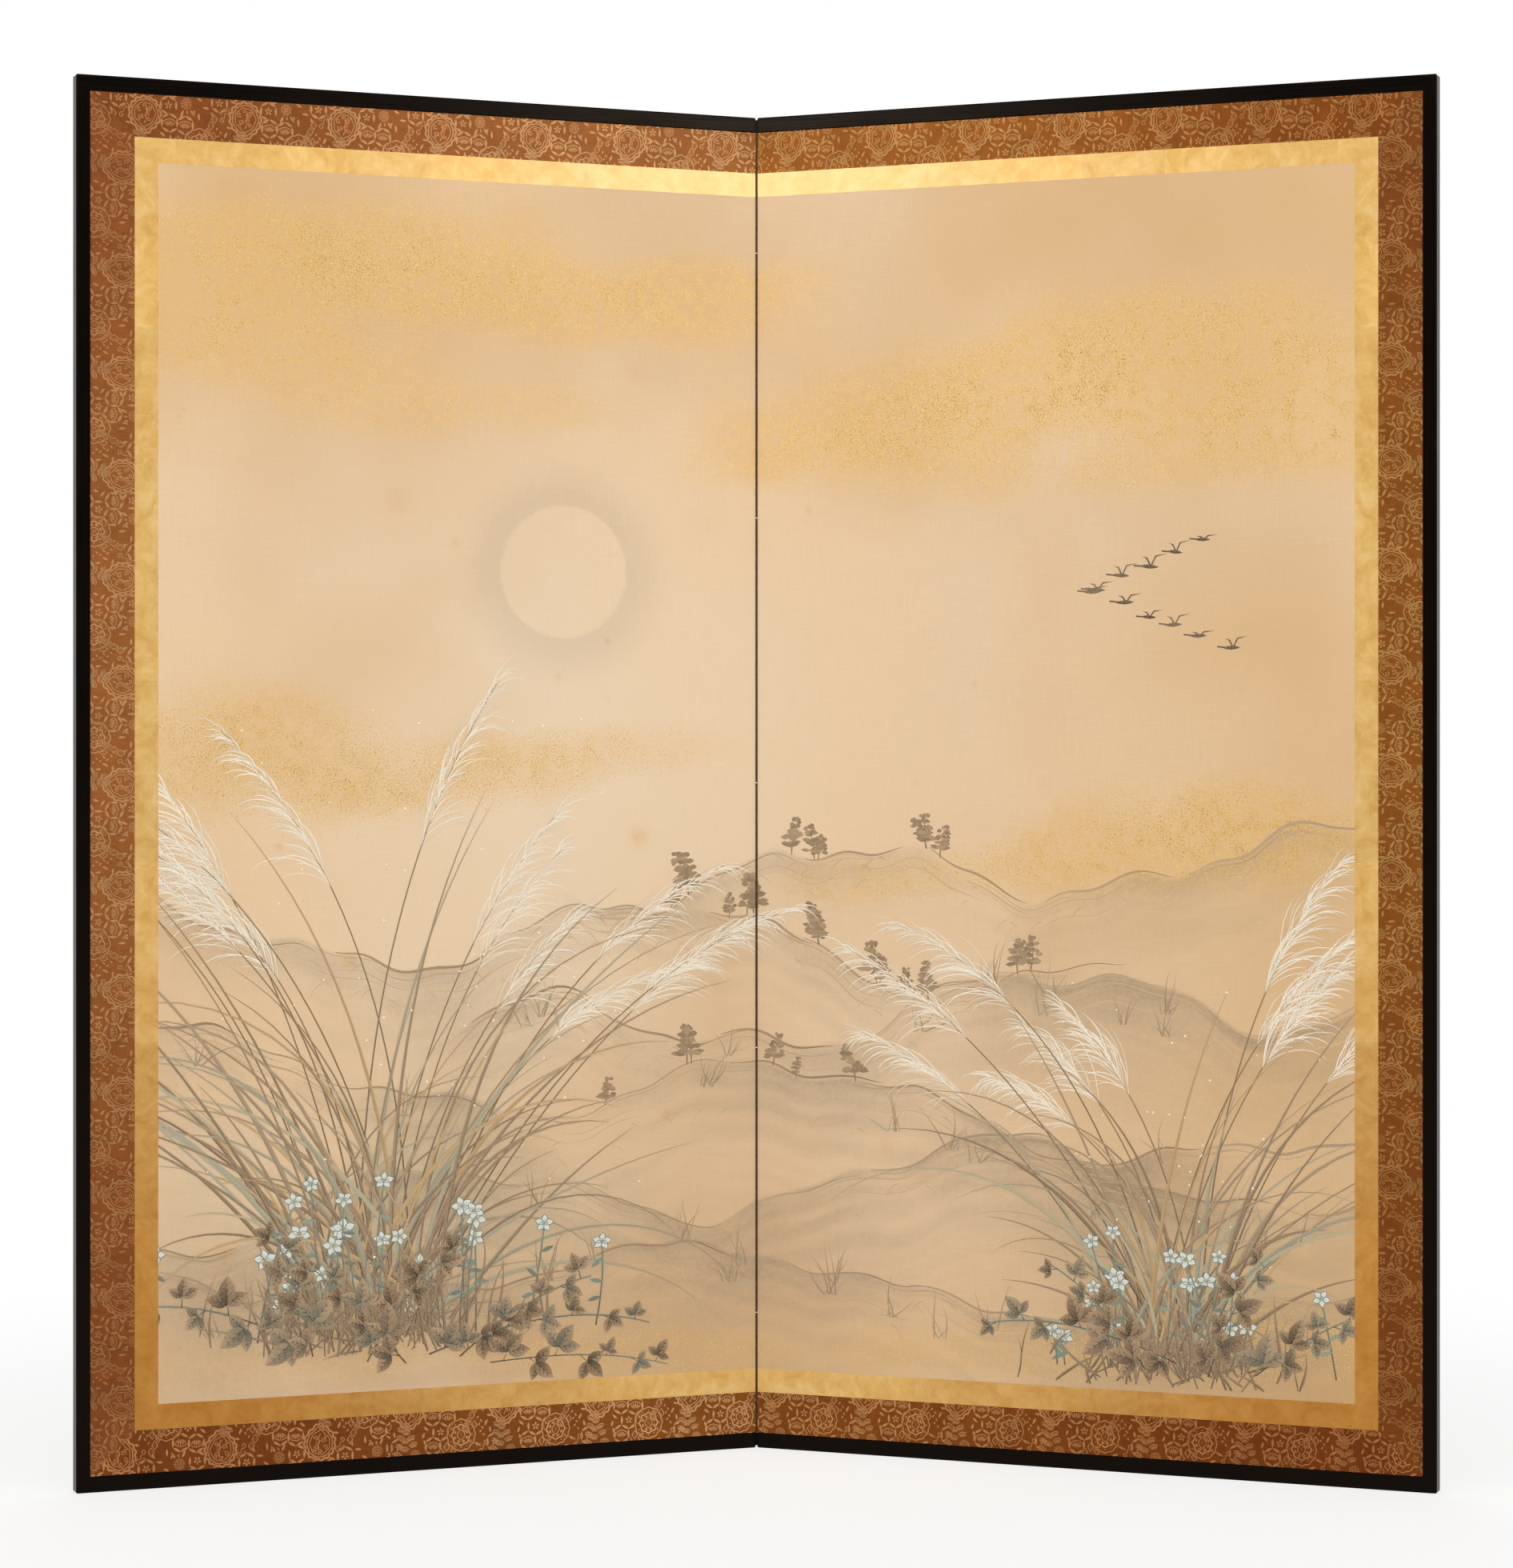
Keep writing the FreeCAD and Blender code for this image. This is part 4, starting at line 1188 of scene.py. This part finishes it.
def drawPicture():
    drawHills()
    for index, count in brushLook["pines"]:
        hill = picture["hills"][index]
        place = between(hill[5] + 120, hill[6] - 320)
        for i in range(count):
            x = place + between(-90, 90) + (i % 3) * 120
            drawPine(x, float(hillTop(hill, x)), between(24, 56), mixTones(silkTone, inks[1], 0.72))
    drawTufts()
    for clump in brushLook["clumps"]:
        drawClump(*clump)
    for vine in brushLook["vines"]:
        drawVine(*vine)
    drawGeese(*brushLook["geese"])
    for i in range(brushLook["seeds"]):
        x, z = (spread(-420, 150), spread(640, 190)) if i % 3 else (spread(600, 90), spread(420, 90))
        strokes.add(disc(x, z, between(0.9, 2.0), between(0.9, 2.0), 6), white)
    return strokes.mesh("brush_strokes")


def makeBrushFinish(side):
    # ink and mineral colour brushed on silk: the weave breaks the stroke up a little
    node = startMaterial("ink_and_colour_" + side, {"Roughness": 0.78, "Specular IOR Level": 0.18})
    colour = node("Attribute", attribute_name="paint").outputs["Color"]
    grain = node("TexNoise", {"Vector": panelPlace(node, side), "Scale": 0.55, "Detail": 4.0, "Roughness": 0.6})
    dry = node("MapRange", {"Value": grain, "From Min": 0.46, "From Max": 0.68, "To Max": 0.3})
    node("Mix", {"Factor": dry, "A": colour, "B": silkTone}, to="Base Color", data_type="RGBA")


strokeMesh = drawPicture()
for side, hand in sides.items():
    makeBrushFinish(side)
    part = strokeMesh.copy()
    part.transform(Matrix.Diagonal((hand, 1, 1, 1)))
    mesh = joined([trimmed(part, silkCuts)], side, screen["silkFront"], "brush_strokes_" + side)
    mount(side + "_brush_strokes", mesh, "painted_silk", "ink_and_colour_" + side)


# Strips along the fold, as sections in (u, v). The hinge's end strips run on through the rails, lacquered black, with
# a lip like the leaf beside them; each panel's edge is bound along its front, so that little light comes through.
foldStrips = {
    "through_rail": [(-0.95, 0.2), (0.2, 0.2), (0.2, 17.5), (-0.2, 17.5), (-0.2, 0.45), (-0.95, 0.45)],
    "core_binding": [(0.28, 1.7), (0.72, 1.7), (0.72, 2.0), (0.28, 2.0)],
    "rail_binding": [(0.32, 0.75), (0.82, 0.75), (0.82, 1.15), (0.32, 1.15)],
}
foldHeights = {"top": (1700.6, 1717.0), "middle": (19.6, 1700.4), "bottom": (3.0, 19.4)}


def makeFoldStrip(name, section, height, side, body=None):
    section, (low, high) = foldStrips[section], foldHeights[height]
    count = len(section)
    faces = [tuple(range(count)), tuple(range(count, 2 * count))]
    faces += [(i, (i + 1) % count, (i + 1) % count + count, i + count) for i in range(count)]
    mesh = newMesh(name, [(u, v, z) for z in (low, high) for u, v in section], faces)
    mesh.transform(panelMatrix(side))
    work = bmesh.new()
    work.from_mesh(mesh)
    bmesh.ops.recalc_face_normals(work, faces=work.faces)
    work.to_mesh(mesh)
    work.free()
    if height == "middle":
        mount(name, mesh, "hinge_paper", "hinge_paper_" + side)
    else:
        mount(name, mesh, "black_lacquer", "black_lacquer_%s_z" % side, body=body)


makeFoldStrip("fold_strip_top", "through_rail", "top", "right", "leaves_a")
makeFoldStrip("fold_strip_bottom", "through_rail", "bottom", "left", "leaves_b")
for side in sides:
    makeFoldStrip(side + "_core_binding", "core_binding", "middle", side)
    for end in ("top", "bottom"):
        makeFoldStrip("%s_%s_binding" % (side, end), "rail_binding", end, side)

backFigures = {"stepAcross": 88.0, "stepUp": 54.0, "lift": 0.12, "line": 1.6}


def drawBackTile():
    # a lozenge of four lines with a four-petalled flower in it
    figures = Figures()
    half, rise = backFigures["stepAcross"] / 2, backFigures["stepUp"] / 2
    for inset, width in ((0.97, backFigures["line"]), (0.82, 0.9)):
        figures.line([(-half * inset, 0), (0, -rise * inset), (half * inset, 0), (0, rise * inset)], width, True)
    for i, a in enumerate(turns(4)):
        reach = 8.0 if i % 2 else 11.5
        figures.add(lens(*around(0, 0, a, reach), reach * 1.35, 6.6, a))
        bx, by = around(0, 0, a + pi / 4, 12.5, 7.6)
        figures.add(lens(bx, by, 7.5, 2.4, atan2(by, bx)))
    figures.dot(0, 0, 2.6, 8)
    return figures.mesh("back_tile")


backTile = link("back_tile", drawBackTile())
for side in sides:
    across, up = backFigures["stepAcross"], backFigures["stepUp"]
    rows = round((screen["railHigh"] - screen["railLow"]) / up) + 2
    columns = round(screen["railOuter"] / across) + 2
    sets = []
    for shift in (0, 1):
        laid = runTree(repeatTree, {"Tile": backTile, "Columns": columns, "Rows": rows, "Across": across, "Up": up})
        laid.transform(Matrix.Translation((-0.5 * across + shift * across / 2, 0, shift * up / 2)))
        sets.append(trimmed(laid, boxCuts("railOuter", "railLow", "railHigh")))
    mesh = joined(sets, side, screen["paperBack"] + backFigures["lift"], "back_print_" + side)
    mount(side + "_back_print", mesh, "back_paper", "block_print_" + side)


view = {"lens": 90.0, "sensor": 36.0, "far": 5.07, "height": 0.879, "shiftY": -0.0102}
cameraData = bpy.data.cameras.new("camera")
cameraData.lens, cameraData.sensor_width, cameraData.shift_y = view["lens"], view["sensor"], view["shiftY"]
camera = link("camera", cameraData)
camera.location = (0, screen["foldY"] / 1000 - view["far"], view["height"])
camera.rotation_euler = (pi / 2, 0, 0)
bpy.context.scene.camera = camera

floorLook = {"half": 14.0, "colour": "#F6F5F3", "near": 0.72, "fadeFrom": 0.7, "fadeTo": 2.2}


def makeFloor():
    # a pale studio floor: it takes the shadow near the screen and turns to plain white further out
    half = floorLook["half"]
    mesh = newMesh("floor", [(-half, -half, 0), (half, -half, 0), (half, half, 0), (-half, half, 0)], [(0, 1, 2, 3)])
    node = startMaterial("studio_floor", {
        "Base Color": floorLook["colour"], "Roughness": 0.9, "Specular IOR Level": 0.0})
    away = node("VectorMath", {0: node("TexCoord").outputs["Object"]}, operation="LENGTH")
    amount = node("MapRange", {
        "Value": away, "From Min": floorLook["fadeFrom"], "From Max": floorLook["fadeTo"],
        "To Min": floorLook["near"]}, interpolation_type="SMOOTHSTEP")
    rays = node("LightPath").outputs
    seen = node("Math", {0: rays["Is Camera Ray"], 1: rays["Is Glossy Ray"]}, operation="MAXIMUM")
    seen = node("Math", {0: seen, 1: rays["Is Transmission Ray"]}, operation="MAXIMUM")
    amount = node("Math", {0: seen, 1: amount}, operation="MULTIPLY")
    glow = node("Emission", {"Color": (1, 1, 1, 1), "Strength": 1.0})
    material = bpy.data.materials["studio_floor"]
    own = material.node_tree.nodes
    node("MixShader", {"Fac": amount, 1: own["Principled BSDF"], 2: glow}, to=own["Material Output"].inputs["Surface"])
    mesh.materials.append(material)
    link("floor", mesh)


makeFloor()

# the room's level for plain surfaces, and what glossy ones see: the white backdrop behind, the dimmer room in front
lightLook = {"room": 0.49, "seen": 1.0, "backdrop": 1.0, "front": 0.04}


def makeWorld():
    world = bpy.data.worlds.new("studio")
    world.use_nodes = True
    world.node_tree.nodes.clear()
    node = partial(addNode, world.node_tree)
    rays = node("LightPath").outputs
    where = node("TexCoord").outputs["Generated"]  # in a world this is the direction
    axis = node("SeparateXYZ", {"Vector": where}).outputs
    level = node("MapRange", {
        "Value": axis["Y"], "From Min": -0.45, "From Max": 0.2, "To Min": lightLook["front"],
        "To Max": lightLook["backdrop"]}, interpolation_type="SMOOTHSTEP")
    level = node("Mix", {"Factor": rays["Is Glossy Ray"], "A": lightLook["room"], "B": level})
    clear = node("Math", {0: rays["Is Camera Ray"], 1: rays["Is Transmission Ray"]}, operation="MAXIMUM")
    strength = node("Mix", {"Factor": clear, "A": level, "B": lightLook["seen"]})
    shader = node("Background", {"Color": (1, 1, 1, 1), "Strength": strength})
    node("OutputWorld", {"Surface": shader})
    bpy.context.scene.world = world


makeWorld()

lamps = {  # place, what it is aimed at, size and watts
    "left_softbox": ((-2.25, -2.2, 2.05), (0.2, 0.0, 1.0), (1.0, 1.3), 22.5),
    "right_softbox": ((2.25, -2.2, 2.05), (-0.2, 0.0, 1.0), (1.0, 1.3), 22.5),
    "top_softbox": ((0.0, -2.2, 3.3), (0.0, 0.1, 0.9), (2.4, 1.2), 25.0),
    "rear_softbox": ((0.0, 3.6, 2.6), (0.0, 0.0, 0.9), (3.0, 2.0), 60.0),
}
for name, (place, aim, size, watts) in lamps.items():
    lamp = bpy.data.lights.new(name, "AREA")
    lamp.shape, lamp.energy = "RECTANGLE", watts
    lamp.size, lamp.size_y = size
    made = link(name, lamp)
    made.location = place
    made.rotation_euler = (Vector(aim) - Vector(place)).to_track_quat("-Z", "Y").to_euler()
bpy.context.scene.view_settings.view_transform = "Standard"
print("camera, floor and light")

for tile in (threadTile, accentTile, backTile):
    bpy.data.objects.remove(tile)
